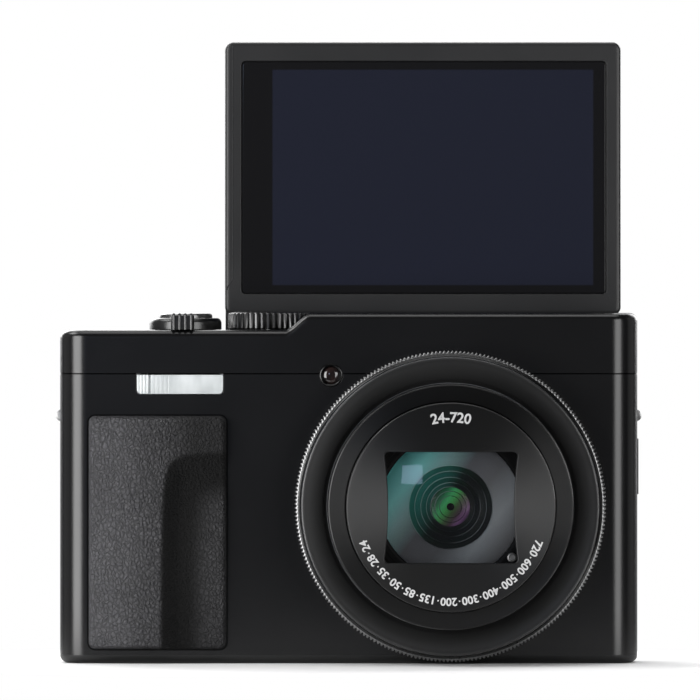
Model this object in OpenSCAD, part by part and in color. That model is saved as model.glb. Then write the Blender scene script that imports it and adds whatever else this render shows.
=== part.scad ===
// Compact zoom camera with a screen that flips up over the top plate.
// Millimetres. +X is the viewer's right when facing the lens, -Y is where the lens points, +Z is up.
// The origin is the mouth of the tripod socket in the base.

/* [Body] */
// Width across the covers
body_w = 112; // [100:1:125]
// Height of the low part of the top plate
plate_h = 64.6; // [55:0.1:75]
// Height of the raised hump
hump_h = 67.9; // [58:0.1:80]
// Distance from the socket axis forward to the front face
front_d = 13; // [10:0.5:18]
// Distance from the socket axis back to the rear face
rear_d = 12; // [10:0.5:18]
// Radius of the vertical corners
corner_r = 5.25; // [3:0.25:8]
// Wall thickness of the covers
wall = 1.3; // [0.8:0.1:2]
// Height of the seam between the front cover and the top cover
seam_h = 56; // [48:0.5:62]
// Thickness of the bottom plate
base_t = 1.6; // [1:0.1:3]

/* [Lens] */
// Lens axis to the right of the socket
lens_x = 19.6; // [10:0.1:30]
// Height of the lens axis
lens_z = 30.5; // [25:0.1:35]
// Outer radius of the control ring
ring_r = 30.1; // [26:0.1:32]
// Outer radius of the outer barrel
outer_r = 23.6; // [20:0.1:25]
// Outer radius of the inner barrel
inner_r = 20.1; // [16:0.05:22]
// Front face of the outer barrel, ahead of the socket axis
outer_front = 33; // [25:0.5:45]
// Front face of the name ring, ahead of the socket axis
inner_front = 41; // [28:0.5:60]
// Width of the window in the name ring
window_w = 26; // [20:0.5:32]
// Height of the window in the name ring
window_h = 21.6; // [16:0.1:26]

/* [Screen] */
// Width of the screen panel
panel_w = 77.4; // [70:0.1:90]
// Height of the screen panel
panel_h = 53.4; // [48:0.1:60]
// Thickness of the screen panel
panel_t = 5.3; // [4:0.1:7]
// Left edge of the panel
panel_x = -24.2; // [-40:0.1:-10]
// Height of the screen hinge
hinge_z = 62; // [58:0.1:65]
// Distance of the screen hinge behind the socket axis
hinge_y = 13.65; // [13:0.05:15]

/* [Hidden] */
$fn = 72;
fit = 0.08;
half_w = body_w / 2;
split_y = -1;
rear_seam_h = 57.2;
slope_x0 = -12.1;
slope_x1 = -7.6;
edge_cut = 1;

recess_y = 9.5;
recess_x0 = panel_x - 0.5;
recess_x1 = panel_x + panel_w + 0.5;
recess_z0 = 2;

lens_hole_r = 27.8;
base_tube_r = 27.6;
cam_bore_r = outer_r + fit;
cam_r = 26.32;
base_bore_r = 26.4;
aperture_r = 13.6;
blade_house_r = inner_r - 1;
blade_t = 0.4;
upper_front_h = 7.1;
upper_rear_h = 4.2;

panel_z0 = hinge_z + 5.5;
panel_y0 = hinge_y - 1.35;
glass_x0 = -20.9;
glass_x1 = 50.3;
glass_z0 = 71.7;
glass_z1 = 117.1;
glass_t = 0.8;

lever_x = -31.7;
lever_y = -4;
mode_x = -15.1;
mode_y = 1;
mode_r = 8.4;
power_x = -44;
power_y = 3.5;
movie_x = -27.5;
movie_y = 6.5;

lamp_x = -3.4;
lamp_z = 55.8;
lamp_r = 2.2;
flash_x0 = -41.1;
flash_x1 = -24.3;
flash_z0 = 52.1;

lug_z = 48;
pocket_z0 = 44.9;
pocket_z1 = 51.3;
pocket_y0 = -5.5;
pocket_y1 = 3.5;
pocket_d = 2.4;

port_y0 = -5.5;
port_y1 = 5.3;
port_z0 = 32.5;
port_z1 = 43.7;
port_pin_x = half_w - 0.5;
port_pin_y = -4.6;

bay_x0 = -51;
bay_x1 = -13;
bay_y0 = -10.5;
bay_y1 = 8;
door_pin_x = -14.3;
door_pin_z = 1.1;
battery_w = 32;
battery_t = 10.5;
battery_h = 43;
battery_x0 = -48;
battery_y0 = -9;
battery_z0 = 2.7;

wheel_x = -40.5;
wheel_z = 22.5;
wheel_r = 9.6;
button_r = 2.5;
viewfinder_at = [-31.8, 50.5];
function_at = [-31.8, 42];
playback_at = [-48.3, 34.8];
delete_at = [-33, 8];

eye_x0 = 31;
eye_x1 = 53;
eye_z0 = 58.3;
eye_z1 = 65.9;
tunnel_x0 = 34;
tunnel_x1 = 49;
tunnel_z0 = 58.9;
tunnel_z1 = 65.3;

diopter_x = 53.2;
diopter_y = 4;
diopter_z = 60.2;
diopter_r = 3;

socket_r = 3.175;
socket_depth = 5.5;
screw_at = [[-8.5, -7.5], [-8.5, 6.5], [50, -6.5], [50, 6]];

// ---- shared shapes ----

module box(x0, x1, y0, y1, z0, z1) {
  translate([x0, y0, z0]) cube([x1 - x0, y1 - y0, z1 - z0]);
}

// Rectangle with round corners, between two corners.
module round_rect(x0, x1, y0, y1, r) {
  translate([x0 + r, y0]) square([x1 - x0 - 2 * r, y1 - y0]);
  translate([x0, y0 + r]) square([x1 - x0, y1 - y0 - 2 * r]);
  for (x = [x0 + r, x1 - r], y = [y0 + r, y1 - r]) {
    translate([x, y]) circle(r = r);
  }
}

// The camera's outline from above, drawn in by a distance.
module plan(inset = 0) {
  round_rect(-half_w + inset, half_w - inset, -front_d + inset, rear_d - inset, corner_r - inset);
}

// Upright prism of the outline.
module plan_prism(z0, z1, inset = 0) {
  translate([0, 0, z0]) linear_extrude(z1 - z0) plan(inset);
}

// Plate drawn in the XZ plane, from y0 back to y1.
module wall_plate(y0, y1) {
  translate([0, y1, 0]) rotate([90, 0, 0]) linear_extrude(y1 - y0) children();
}

// Children along the lens axis: local X right, local Y up, local Z forward of the socket axis.
module at_lens() {
  translate([lens_x, 0, lens_z]) rotate([90, 0, 0]) children();
}

// Disc or rod pointing out of the rear face: local Z is +Y.
module at_rear(x, z) {
  translate([x, 0, z]) rotate([-90, 0, 0]) children();
}

module rod_x(x0, x1, y, z, r) {
  translate([x0, y, z]) rotate([0, 90, 0]) cylinder(r = r, h = x1 - x0);
}

module rod_y(y0, y1, x, z, r) {
  translate([x, y0, z]) rotate([-90, 0, 0]) cylinder(r = r, h = y1 - y0);
}

module rod_z(z0, z1, x, y, r) {
  translate([x, y, z0]) cylinder(r = r, h = z1 - z0);
}

// Toothed outline with flat-topped teeth.
module toothed(r, depth, teeth) {
  step = 360 / teeth;
  polygon([for (i = [0:teeth - 1], k = [0:3])
    let (a = step * (i + k / 4), rr = k < 2 ? r : r - depth) [rr * cos(a), rr * sin(a)]]);
}

module tube(r_out, r_in, z0, z1) {
  difference() {
    translate([0, 0, z0]) cylinder(r = r_out, h = z1 - z0, $fn = 144);
    translate([0, 0, z0 - 1]) cylinder(r = r_in, h = z1 - z0 + 2, $fn = 144);
  }
}

// ---- covers ----

module lens_hole() {
  at_lens() translate([0, 0, 5]) cylinder(r = lens_hole_r, h = 15, $fn = 144);
}

module lamp_hole() {
  rod_y(-front_d - 1, -front_d + 3, lamp_x, lamp_z, lamp_r + fit);
}

module port_hole() {
  box(half_w - 2, half_w + 1, port_y0, port_y1, port_z0, port_z1);
}

module lug_pockets() {
  box(half_w - pocket_d, half_w + 1, pocket_y0, pocket_y1, pocket_z0, pocket_z1);
  box(-half_w - 1, -half_w + pocket_d, pocket_y0, pocket_y1, pocket_z0, pocket_z1);
}

// Solid backing that closes the strap pockets from inside.
module pocket_backs() {
  for (side = [-1, 1]) {
    x = side * (half_w - pocket_d - wall / 2);
    translate([x, (pocket_y0 + pocket_y1) / 2, (pocket_z0 + pocket_z1) / 2])
      cube([wall, pocket_y1 - pocket_y0 + 2 * wall, pocket_z1 - pocket_z0 + 2 * wall], center = true);
    for (z = [pocket_z0 - wall, pocket_z1]) {
      box(side > 0 ? half_w - pocket_d - wall : -half_w + 0.5, side > 0 ? half_w - 0.5 : -half_w + pocket_d + wall,
        pocket_y0 - wall, pocket_y1 + wall, z, z + wall);
    }
  }
}

module front_cover() {
  color([0.13, 0.13, 0.14])
  difference() {
    intersection() {
      union() {
        difference() {
          plan_prism(base_t, seam_h);
          plan_prism(base_t - 1, seam_h + 1, wall);
        }
        pocket_backs();
      }
      box(-half_w - 1, half_w + 1, -front_d - 1, split_y, 0, hump_h);
    }
    lens_hole();
    lamp_hole();
    port_hole();
    lug_pockets();
    box(flash_x0 - 0.1, flash_x1 + 0.1, -front_d - 1, -front_d + 3, flash_z0 - 0.1, seam_h + 1);
  }
  port_pins();
}

// Stub pins that carry the terminal door.
module port_pins() {
  color([0.13, 0.13, 0.14]) {
    rod_z(port_z0, port_z0 + 1.5, port_pin_x, port_pin_y, 0.3);
    rod_z(port_z1 - 1.5, port_z1, port_pin_x, port_pin_y, 0.3);
  }
}

module rear_button_hole(at) {
  rod_y(recess_y - 2, rear_d + 1, at[0], at[1], button_r + fit);
}

module rear_cover() {
  color([0.13, 0.13, 0.14])
  difference() {
    intersection() {
      union() {
        difference() {
          plan_prism(base_t, rear_seam_h);
          plan_prism(base_t - 1, rear_seam_h + 1, wall);
        }
        box(recess_x0 - wall, half_w - 1, recess_y - wall, rear_d - 0.5, base_t, rear_seam_h);
        pocket_backs();
      }
      box(-half_w - 1, half_w + 1, split_y, rear_d + 1, 0, rear_seam_h);
    }
    box(recess_x0, recess_x1, recess_y, rear_d + 1, recess_z0, rear_seam_h + 1);
    port_hole();
    lug_pockets();
    rod_y(recess_y - 2, rear_d + 1, wheel_x, wheel_z, wheel_r + 0.5);
    for (at = [viewfinder_at, function_at, playback_at, delete_at]) {
      rear_button_hole(at);
    }
  }
}

// Front profile of the top cover, drawn in by a distance.
module top_profile(inset) {
  polygon([
    [-half_w + inset, 50], [-half_w + inset, plate_h - inset], [slope_x0 + inset / 2, plate_h - inset],
    [slope_x1 + inset / 2, hump_h - inset], [half_w - inset, hump_h - inset], [half_w - inset, 50]
  ]);
}

// Side profile with cut front and rear edges, for one height.
module edge_profile(top) {
  polygon([
    [-front_d, 50], [-front_d, top - edge_cut], [-front_d + edge_cut, top],
    [rear_d - edge_cut, top], [rear_d, top - edge_cut], [rear_d, 50]
  ]);
}

module edge_prism(x0, x1, top) {
  translate([x0, 0, 0]) rotate([90, 0, 90]) linear_extrude(x1 - x0) edge_profile(top);
}

module top_block() {
  intersection() {
    plan_prism(seam_h, hump_h + 1);
    wall_plate(-front_d - 1, rear_d + 1) top_profile(0);
    union() {
      edge_prism(-half_w - 1, slope_x0, plate_h);
      edge_prism(slope_x0, half_w + 1, hump_h);
    }
  }
}

module top_cavity() {
  difference() {
    intersection() {
      plan_prism(50, hump_h + 1, wall);
      wall_plate(-front_d - 1, rear_d + 1) top_profile(wall);
    }
    rod_z(plate_h - wall, hump_h, mode_x, mode_y, mode_r + 0.4 + wall);
    box(recess_x0 - wall, half_w, recess_y - wall, rear_d, rear_seam_h, rear_seam_h + 1);
  }
}

module top_cover() {
  color([0.15, 0.15, 0.16])
  difference() {
    top_block();
    top_cavity();
    box(-half_w - 1, half_w + 1, split_y, rear_d + 1, seam_h - 1, rear_seam_h);
    lens_hole();
    lamp_hole();
    rod_z(plate_h, hump_h + 1, mode_x, mode_y, mode_r + 0.4);
    rod_z(plate_h - 3, hump_h + 1, mode_x, mode_y, 2 + fit);
    rod_z(plate_h - 3, hump_h + 1, lever_x, lever_y, 5.9 + fit);
    rod_z(plate_h - 3, hump_h + 1, power_x, power_y, 2.6 + fit);
    rod_z(plate_h - 3, hump_h + 1, movie_x, movie_y, 2.4 + fit);
    box(tunnel_x0, tunnel_x1, rear_d - 3, rear_d + 1, tunnel_z0, tunnel_z1);
    box(half_w - 2, half_w + 1, diopter_y - 2.9, diopter_y + 2.9, diopter_z - 0.3, diopter_z + 2.7);
  }
}

module bottom_plate() {
  color([0.12, 0.12, 0.13])
  difference() {
    intersection() {
      plan_prism(0, base_t);
      wall_plate(-front_d - 1, rear_d + 1) polygon([
        [-half_w + edge_cut, 0], [-half_w, edge_cut], [-half_w, 3],
        [half_w, 3], [half_w, edge_cut], [half_w - edge_cut, 0]
      ]);
      translate([-half_w - 1, 0, 0]) rotate([90, 0, 90]) linear_extrude(body_w + 2) polygon([
        [-front_d + edge_cut, 0], [-front_d, edge_cut], [-front_d, 3],
        [rear_d, 3], [rear_d, edge_cut], [rear_d - edge_cut, 0]
      ]);
    }
    box(bay_x0, bay_x1, bay_y0, bay_y1, -1, 3);
    translate([0, 0, -1]) cylinder(r = 4.6, h = 5);
    for (at = screw_at) {
      rod_z(-1, 3, at[0], at[1], 1.5);
    }
  }
  color([0.12, 0.12, 0.13]) {
    rod_y(bay_y0, bay_y0 + 2, door_pin_x, door_pin_z, 0.5);
    rod_y(bay_y1 - 2, bay_y1, door_pin_x, door_pin_z, 0.5);
  }
}

// Raised palm swell down the left, and across the top under the flash.
module grip_pad() {
  x0 = -50.7;
  x1 = -23.7;
  z0 = 3.2;
  z1 = 48.3;
  color([0.2, 0.2, 0.21]) {
    wall_plate(-front_d - 0.9, -front_d) round_rect(x0, x1, z0, z1, 1.6);
    intersection() {
      wall_plate(-front_d - 6, -front_d - 0.9) round_rect(x0, x1, z0, z1, 1.6);
      union() {
        rod_z(z0, z1, -44.6, -front_d + 2.2, 6.7);
        box(-44.6, -40.6, -front_d - 4.5, -front_d, z0, z1);
        rod_z(z0, z1, -40.6, -front_d + 0.4, 4.9);
        rod_x(x0 + 6, x1, -front_d + 0.2, 43.6, 4.7);
      }
    }
  }
}

module thumb_rest() {
  color([0.2, 0.2, 0.21])
  intersection() {
    wall_plate(rear_d, rear_d + 4) round_rect(-52, -37, 39.5, 54, 2.5);
    union() {
      box(-52, -37, rear_d, rear_d + 0.8, 39.5, 54);
      rod_z(39.5, 54, -40.5, rear_d - 0.4, 3.4);
    }
  }
}

module flash_window() {
  color([0.9, 0.92, 0.95])
  box(flash_x0, flash_x1, -front_d - 0.05, -front_d + wall, flash_z0, seam_h - 0.1);
}

module flash_reflector() {
  color([0.8, 0.8, 0.82])
  difference() {
    box(flash_x0, flash_x1, -front_d + wall + 0.1, -front_d + 5.5, flash_z0 - 1, seam_h + 1);
    rod_x(flash_x0 + 0.6, flash_x1 - 0.6, -front_d + wall, 54, 2.2);
  }
}

module af_lamp_window() {
  color([0.5, 0.2, 0.15, 0.7])
  rod_y(-front_d - 0.1, -front_d + wall, lamp_x, lamp_z, lamp_r);
}

// Bar across a pocket, on two feet: side is -1 for the left, 1 for the right.
module strap_lug(side) {
  x_in = half_w - pocket_d;
  color([0.75, 0.75, 0.77])
  mirror([side < 0 ? 1 : 0, 0, 0]) {
    rod_y(pocket_y0, pocket_y1, half_w - 0.25, lug_z, 1.15);
    box(x_in, half_w - 0.3, pocket_y0, pocket_y0 + 1.2, lug_z - 1.1, lug_z + 1.1);
    box(x_in, half_w - 0.3, pocket_y1 - 1.2, pocket_y1, lug_z - 1.1, lug_z + 1.1);
  }
}

module tripod_socket() {
  color([0.72, 0.62, 0.4])
  difference() {
    union() {
      cylinder(r = 4.6, h = 7);
      translate([0, 0, base_t]) cylinder(r = 6, h = 1.2);
    }
    translate([0, 0, -1]) cylinder(r = socket_r, h = socket_depth + 1);
  }
}

module body_screws() {
  color([0.35, 0.35, 0.37])
  for (at = screw_at) {
    difference() {
      rod_z(0.1, 7, at[0], at[1], 1.5);
      box(at[0] - 0.9, at[0] + 0.9, at[1] - 0.2, at[1] + 0.2, -1, 0.6);
      box(at[0] - 0.2, at[0] + 0.2, at[1] - 0.9, at[1] + 0.9, -1, 0.6);
    }
  }
}

// ---- inside the body ----

module main_board() {
  color([0.1, 0.35, 0.2]) {
    box(-11, 53, 5.6, 6.8, 8, 50);
    box(4, 18, 6.8, 7.9, 10, 24);
    box(28, 38, 6.8, 7.7, 34, 44);
  }
}

module battery_holder() {
  t = 0.9;
  x1 = battery_x0 + battery_w + 0.2 + t;
  color([0.3, 0.3, 0.32])
  difference() {
    box(battery_x0 - 0.2 - t, x1, battery_y0 - 0.2 - t, 7.3, battery_z0, battery_z0 + battery_h + 2);
    box(battery_x0 - 0.2, x1 - t, battery_y0 - 0.2, battery_y0 + battery_t + 0.2, 0, battery_z0 + battery_h + 0.3);
    box(battery_x0 - 0.2, battery_x0 + 24.2, 4, 6.4, 0, battery_z0 + 32.3);
    box(battery_x0 - 2, battery_x0, -5.2, -1.8, 0, 12);
  }
}

module battery() {
  color([0.25, 0.26, 0.3]) {
    box(battery_x0, battery_x0 + battery_w, battery_y0, battery_y0 + battery_t, battery_z0 + 2, battery_z0 + battery_h);
    box(battery_x0 + 1, battery_x0 + battery_w - 1, battery_y0 + 0.5, battery_y0 + battery_t - 0.5,
      battery_z0, battery_z0 + 2);
  }
}

module memory_card() {
  color([0.1, 0.15, 0.35])
  wall_plate(4.1, 6.2) polygon([
    [battery_x0, battery_z0 + 0.3], [battery_x0 + 24, battery_z0 + 0.3], [battery_x0 + 24, battery_z0 + 28],
    [battery_x0 + 20, battery_z0 + 32], [battery_x0, battery_z0 + 32]
  ]);
}

// Folded metal shell of a side socket, with its tongue.
module side_socket(z0, z1, y0, y1) {
  x0 = 48.2;
  x1 = half_w - wall - 0.1;
  color([0.7, 0.7, 0.72]) {
    difference() {
      box(x0, x1, y0, y1, z0, z1);
      box(x0 + 1, x1 + 1, y0 + 0.35, y1 - 0.35, z0 + 0.35, z1 - 0.35);
    }
    box(x0 + 1, x1 - 1, y0 + 1.2, y1 - 1.2, (z0 + z1) / 2 - 0.3, (z0 + z1) / 2 + 0.3);
  }
}

module hdmi_socket() {
  side_socket(34, 37.2, -3.3, 3.7);
}

module usb_socket() {
  side_socket(39, 42.2, -3.5, 3.9);
}

module image_sensor() {
  color([0.25, 0.3, 0.4])
  at_lens() {
    translate([-11, -9, -4.8]) cube([22, 18, 1.4]);
    translate([-8, -6.5, -3.4]) cube([16, 13, 1]);
  }
}

// ---- viewfinder ----

module eyepiece_frame() {
  color([0.12, 0.12, 0.13])
  difference() {
    union() {
      wall_plate(rear_d, rear_d + 3.4) round_rect(eye_x0, eye_x1, eye_z0, eye_z1, 2.2);
      box(tunnel_x0 + 0.1, tunnel_x1 - 0.1, 3, rear_d, tunnel_z0 + 0.1, tunnel_z1 - 0.1);
    }
    wall_plate(3.9, rear_d + 5) round_rect(tunnel_x0 + 1, tunnel_x1 - 1, tunnel_z0 + 0.8, tunnel_z1 - 0.8, 1);
  }
}

module eyepiece_lens() {
  color([0.5, 0.55, 0.65, 0.6])
  wall_plate(rear_d - 0.6, rear_d + 0.8)
    round_rect(tunnel_x0 + 1.05, tunnel_x1 - 1.05, tunnel_z0 + 0.85, tunnel_z1 - 0.85, 0.95);
}

module diopter_dial() {
  color([0.2, 0.2, 0.21])
  translate([diopter_x, diopter_y, diopter_z])
  difference() {
    linear_extrude(2.4) toothed(diopter_r, 0.25, 28);
    translate([0, 0, -1]) cylinder(r = 0.8, h = 4);
  }
}

// ---- screen and its hinge ----

module hinge_block() {
  color([0.2, 0.2, 0.21])
  difference() {
    union() {
      for (x = [panel_x + 0.3, 21.8]) {
        rod_x(x, x + 8, hinge_y, hinge_z, 1.6);
        box(x, x + 8, rear_d, hinge_y, hinge_z - 1.6, hinge_z + 1.6);
      }
    }
    rod_x(panel_x, 31, hinge_y, hinge_z, 0.75);
  }
}

module hinge_pin() {
  color([0.7, 0.7, 0.72])
  rod_x(panel_x + 0.5, 29.6, hinge_y, hinge_z, 0.75);
}

module hinge_bracket() {
  x0 = panel_x + 0.1;
  x1 = 30;
  color([0.19, 0.19, 0.2])
  difference() {
    union() {
      box(x0, x1, hinge_y - 0.65, hinge_y + 0.65, hinge_z + 1.9, panel_z0 + 4);
      for (x = [panel_x + 8.6, 13.5]) {
        rod_x(x, x + 8, hinge_y, hinge_z, 1.6);
        box(x, x + 8, hinge_y - 0.65, hinge_y + 0.65, hinge_z, hinge_z + 2);
      }
    }
    rod_x(panel_x, 31, hinge_y, hinge_z, 0.75 + 0.06);
  }
}

module panel_outline(inset = 0) {
  round_rect(panel_x + inset, panel_x + panel_w - inset, panel_z0 + inset, panel_z0 + panel_h - inset, 2 - inset);
}

module bracket_slot() {
  box(panel_x, 30.1, hinge_y - 0.7, hinge_y + 0.7, panel_z0 - 1, panel_z0 + 4.1);
}

module screen_frame() {
  y1 = panel_y0 + 2.7;
  color([0.19, 0.19, 0.2])
  difference() {
    wall_plate(panel_y0, y1) panel_outline();
    wall_plate(panel_y0 - 1, panel_y0 + glass_t) round_rect(glass_x0, glass_x1, glass_z0, glass_z1, 0.8);
    wall_plate(panel_y0 - 1, y1 + 1)
      round_rect(glass_x0 + 1, glass_x1 - 1, glass_z0 + 0.8, glass_z1 - 0.8, 0.5);
    bracket_slot();
  }
}

module screen_cover() {
  y0 = panel_y0 + 2.7;
  y1 = panel_y0 + panel_t;
  color([0.15, 0.15, 0.16])
  difference() {
    wall_plate(y0, y1) panel_outline();
    wall_plate(y0 - 1, y1 - 1.1) panel_outline(1.2);
  }
}

module screen_glass() {
  color([0.12, 0.12, 0.15])
  wall_plate(panel_y0, panel_y0 + glass_t)
    round_rect(glass_x0 + 0.05, glass_x1 - 0.05, glass_z0 + 0.05, glass_z1 - 0.05, 0.75);
}

module screen_module() {
  color([0.14, 0.15, 0.18])
  box(-17.3, 48.9, panel_y0 + glass_t + 0.05, panel_y0 + 3.4, 72.7, 116.2);
}

// ---- lens ----

module lens_base() {
  color([0.14, 0.14, 0.15])
  at_lens()
  difference() {
    union() {
      translate([0, 0, -2.2]) cylinder(r = base_tube_r, h = 23, $fn = 144);
      translate([0, 0, front_d + 0.05]) cylinder(r = 29.3, h = 1.2, $fn = 144);
    }
    translate([0, 0, -1]) cylinder(r = base_bore_r, h = 30, $fn = 144);
    translate([-8, -6.5, -5]) cube([16, 13, 10]);
  }
}

module lens_shroud() {
  color([0.08, 0.08, 0.09])
  at_lens() rotate_extrude($fn = 144) polygon([
    [outer_r + 0.3, 19.3], [26.3, 19.3], [26.3, 20.8], [base_tube_r, 20.8], [base_tube_r, 21.6],
    [28.8, 21.6], [28.8, 22.1], [28.3, 22.4], [26.6, 21.5], [25, 20.9], [outer_r + 0.3, 20.7]
  ]);
}

module control_ring() {
  color([0.22, 0.22, 0.24])
  at_lens()
  difference() {
    union() {
      translate([0, 0, 14.4]) cylinder(r = 29.5, h = 0.9, $fn = 144);
      translate([0, 0, 15.3]) linear_extrude(5.5) toothed(ring_r, 0.35, 150);
      translate([0, 0, 20.8]) cylinder(r1 = 29.8, r2 = 29.2, h = 0.6, $fn = 144);
    }
    translate([0, 0, 10]) cylinder(r = base_tube_r + fit, h = 15, $fn = 144);
  }
}

module cam_ring() {
  color([0.4, 0.4, 0.42])
  at_lens()
  difference() {
    tube(cam_r, cam_bore_r, -0.8, 19);
    for (a = [20, 140, 260]) {
      rotate([0, 0, a]) translate([outer_r - 0.5, -1, 3]) cube([4, 2, 12]);
    }
  }
}

module outer_barrel() {
  color([0.16, 0.16, 0.17])
  at_lens() {
    tube(outer_r, inner_r + 1.65, outer_front - 24, outer_front - 2);
    tube(outer_r, inner_r + 0.1, outer_front - 2, outer_front);
  }
}

module inner_barrel() {
  wall_r = inner_r - 1;
  color([0.16, 0.16, 0.17])
  at_lens() {
    tube(inner_r, wall_r, inner_front - 18, inner_front - 1);
    tube(inner_r + 1.57, wall_r, inner_front - 18, inner_front - 16.4);
    tube(wall_r + 0.1, aperture_r, inner_front - 3.8, inner_front - 3.1);
    tube(aperture_r + 1.2, aperture_r, inner_front - 9.5, inner_front - 3.8);
  }
}

// Four-sided window with sides bowed gently inward.
module window_outline() {
  bow = 0.8;
  bow_r = (window_h * window_h / 4 + bow * bow) / (2 * bow);
  difference() {
    round_rect(-window_w / 2, window_w / 2, -window_h / 2, window_h / 2, 1);
    for (side = [-1, 1]) {
      translate([side * (window_w / 2 + bow_r - bow), 0]) circle(r = bow_r, $fn = 144);
    }
  }
}

module name_ring() {
  color([0.13, 0.13, 0.14])
  at_lens()
  difference() {
    union() {
      translate([0, 0, inner_front - 1]) cylinder(r = inner_r - 0.1, h = 0.7, $fn = 144);
      translate([0, 0, inner_front - 0.3]) cylinder(r1 = inner_r - 0.1, r2 = inner_r - 0.4, h = 0.3, $fn = 144);
    }
    translate([0, 0, inner_front - 3]) linear_extrude(5) window_outline();
  }
}

// Blade standing open above the window: a strip of the round house between two heights.
module blade(height, z0) {
  color([0.1, 0.1, 0.11])
  translate([0, 0, z0]) linear_extrude(blade_t) intersection() {
    circle(r = blade_house_r - 0.05, $fn = 144);
    translate([-20, window_h / 2 + 0.15]) square([40, height]);
  }
}

front_blade_z = inner_front - 2.1;
rear_blade_z = inner_front - 2.8;

module blade_upper_front() {
  at_lens() blade(upper_front_h, front_blade_z);
}

module blade_upper_rear() {
  at_lens() blade(upper_rear_h, rear_blade_z);
}

module blade_lower_front() {
  at_lens() mirror([0, 1, 0]) blade(upper_front_h, front_blade_z);
}

module blade_lower_rear() {
  at_lens() mirror([0, 1, 0]) blade(upper_rear_h, rear_blade_z);
}

module front_lens() {
  dome_r = 26;
  color([0.35, 0.45, 0.55, 0.5])
  at_lens()
  intersection() {
    translate([0, 0, inner_front - 9.5]) cylinder(r = aperture_r - 0.05, h = 7, $fn = 144);
    translate([0, 0, inner_front - 3.1 - dome_r]) sphere(r = dome_r, $fn = 144);
  }
}

module inner_lens_group() {
  z = inner_front - 16;
  color([0.1, 0.1, 0.11])
  at_lens() rotate_extrude($fn = 96) polygon([
    [0, z], [inner_r - 1.05, z], [inner_r - 1.05, z + 1], [13, z + 1], [13, z + 5], [8.1, z + 3.6],
    [8.1, z + 3], [5.7, z + 2.4], [5.7, z + 2], [3.8, z + 1.6], [0, z + 1.6]
  ]);
}

// ---- doors ----

module battery_door() {
  x0 = bay_x0 + 0.2;
  y0 = bay_y0 + 0.2;
  y1 = bay_y1 - 0.2;
  color([0.12, 0.12, 0.13])
  difference() {
    union() {
      box(x0, door_pin_x, y0, y1, 0, 1.5);
      rod_y(y0, y1, door_pin_x, door_pin_z, 1.1);
    }
    rod_y(y0 - 1, y1 + 1, door_pin_x, door_pin_z, 0.5 + fit);
    box(x0 + 3, x0 + 14, -4.2, 4.2, -1, 0.8);
  }
}

module battery_latch() {
  x0 = bay_x0 + 3.3;
  color([0.2, 0.2, 0.21]) {
    box(x0, x0 + 7, -4, 4, 0.15, 0.7);
    for (i = [0:3]) {
      box(x0 + 1.2 + i * 1.3, x0 + 1.8 + i * 1.3, -3, 3, 0, 0.2);
    }
  }
}

module battery_catch() {
  x0 = battery_x0 - 1.3;
  color([0.75, 0.4, 0.15]) {
    box(x0, battery_x0 + 1, -5, -2, 1.75, 2.5);
    box(x0, battery_x0 - 0.25, -5, -2, 2.4, 10);
  }
}

module terminal_door() {
  z0 = port_z0 + 0.2;
  z1 = port_z1 - 0.2;
  color([0.13, 0.13, 0.14])
  difference() {
    union() {
      box(port_pin_x - 0.4, half_w + 0.3, port_pin_y, port_y1 - 0.2, z0, z1);
      rod_z(z0, z1, port_pin_x, port_pin_y, 0.75);
    }
    rod_z(z0 - 1, z1 + 1, port_pin_x, port_pin_y, 0.3 + fit);
  }
}

// ---- top controls ----

module shutter_button() {
  color([0.6, 0.6, 0.62])
  translate([lever_x, lever_y, 0]) {
    translate([0, 0, plate_h + 0.6]) cylinder(r = 5.2, h = 2.2);
    translate([0, 0, plate_h + 2.8]) cylinder(r1 = 5.2, r2 = 4.6, h = 0.4);
    translate([0, 0, plate_h - 4]) cylinder(r = 1.5, h = 5);
  }
}

module zoom_lever() {
  z0 = plate_h + 0.15;
  color([0.2, 0.2, 0.21])
  translate([lever_x, lever_y, 0])
  difference() {
    union() {
      translate([0, 0, z0]) cylinder(r = 7, h = 2.15);
      translate([0, 0, plate_h - 2.8]) cylinder(r = 5.9, h = 4);
      translate([0, 0, plate_h - 2.8]) cylinder(r = 6.8, h = 0.8);
      translate([-2.7, -10.2, z0]) cube([4.4, 4.4, 2.9]);
      for (i = [0:3]) {
        translate([-2.6 + i * 1.15, -10.4, z0 + 0.3]) cube([0.6, 3.6, 3]);
      }
    }
    translate([0, 0, plate_h - 5]) cylinder(r = 5.2 + fit, h = 12);
  }
}

module mode_dial() {
  color([0.2, 0.2, 0.21])
  translate([mode_x, mode_y, 0]) {
    translate([0, 0, plate_h + 0.2]) linear_extrude(2.9) toothed(mode_r, 0.4, 40);
    translate([0, 0, plate_h + 3.1]) cylinder(r1 = 8, r2 = 7.6, h = 0.4);
    translate([0, 0, plate_h - 3.2]) cylinder(r = 2, h = 4);
    translate([0, 0, plate_h - 3]) cylinder(r = 3.5, h = 0.8);
  }
}

// Push button in the top plate, standing slightly proud, with a collar under the plate.
module top_button(r) {
  translate([0, 0, plate_h - 2.2]) cylinder(r = r, h = 2.6);
  translate([0, 0, plate_h - 2.2]) cylinder(r = r + 0.7, h = 0.7);
}

module power_button() {
  color([0.2, 0.2, 0.21]) translate([power_x, power_y, 0]) top_button(2.6);
}

module movie_button() {
  color([0.5, 0.12, 0.12]) translate([movie_x, movie_y, 0]) top_button(2.4);
}

// ---- rear controls ----

module rear_button(at) {
  color([0.18, 0.18, 0.19])
  at_rear(at[0], at[1]) {
    translate([0, 0, rear_d - 1.6]) cylinder(r = button_r, h = 2.2);
    translate([0, 0, rear_d - 2.3]) cylinder(r = button_r + 0.7, h = 0.8);
    translate([0, 0, rear_d - 3.4]) cylinder(r = 0.9, h = 1.4);
  }
}

module viewfinder_button() {
  rear_button(viewfinder_at);
}

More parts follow.
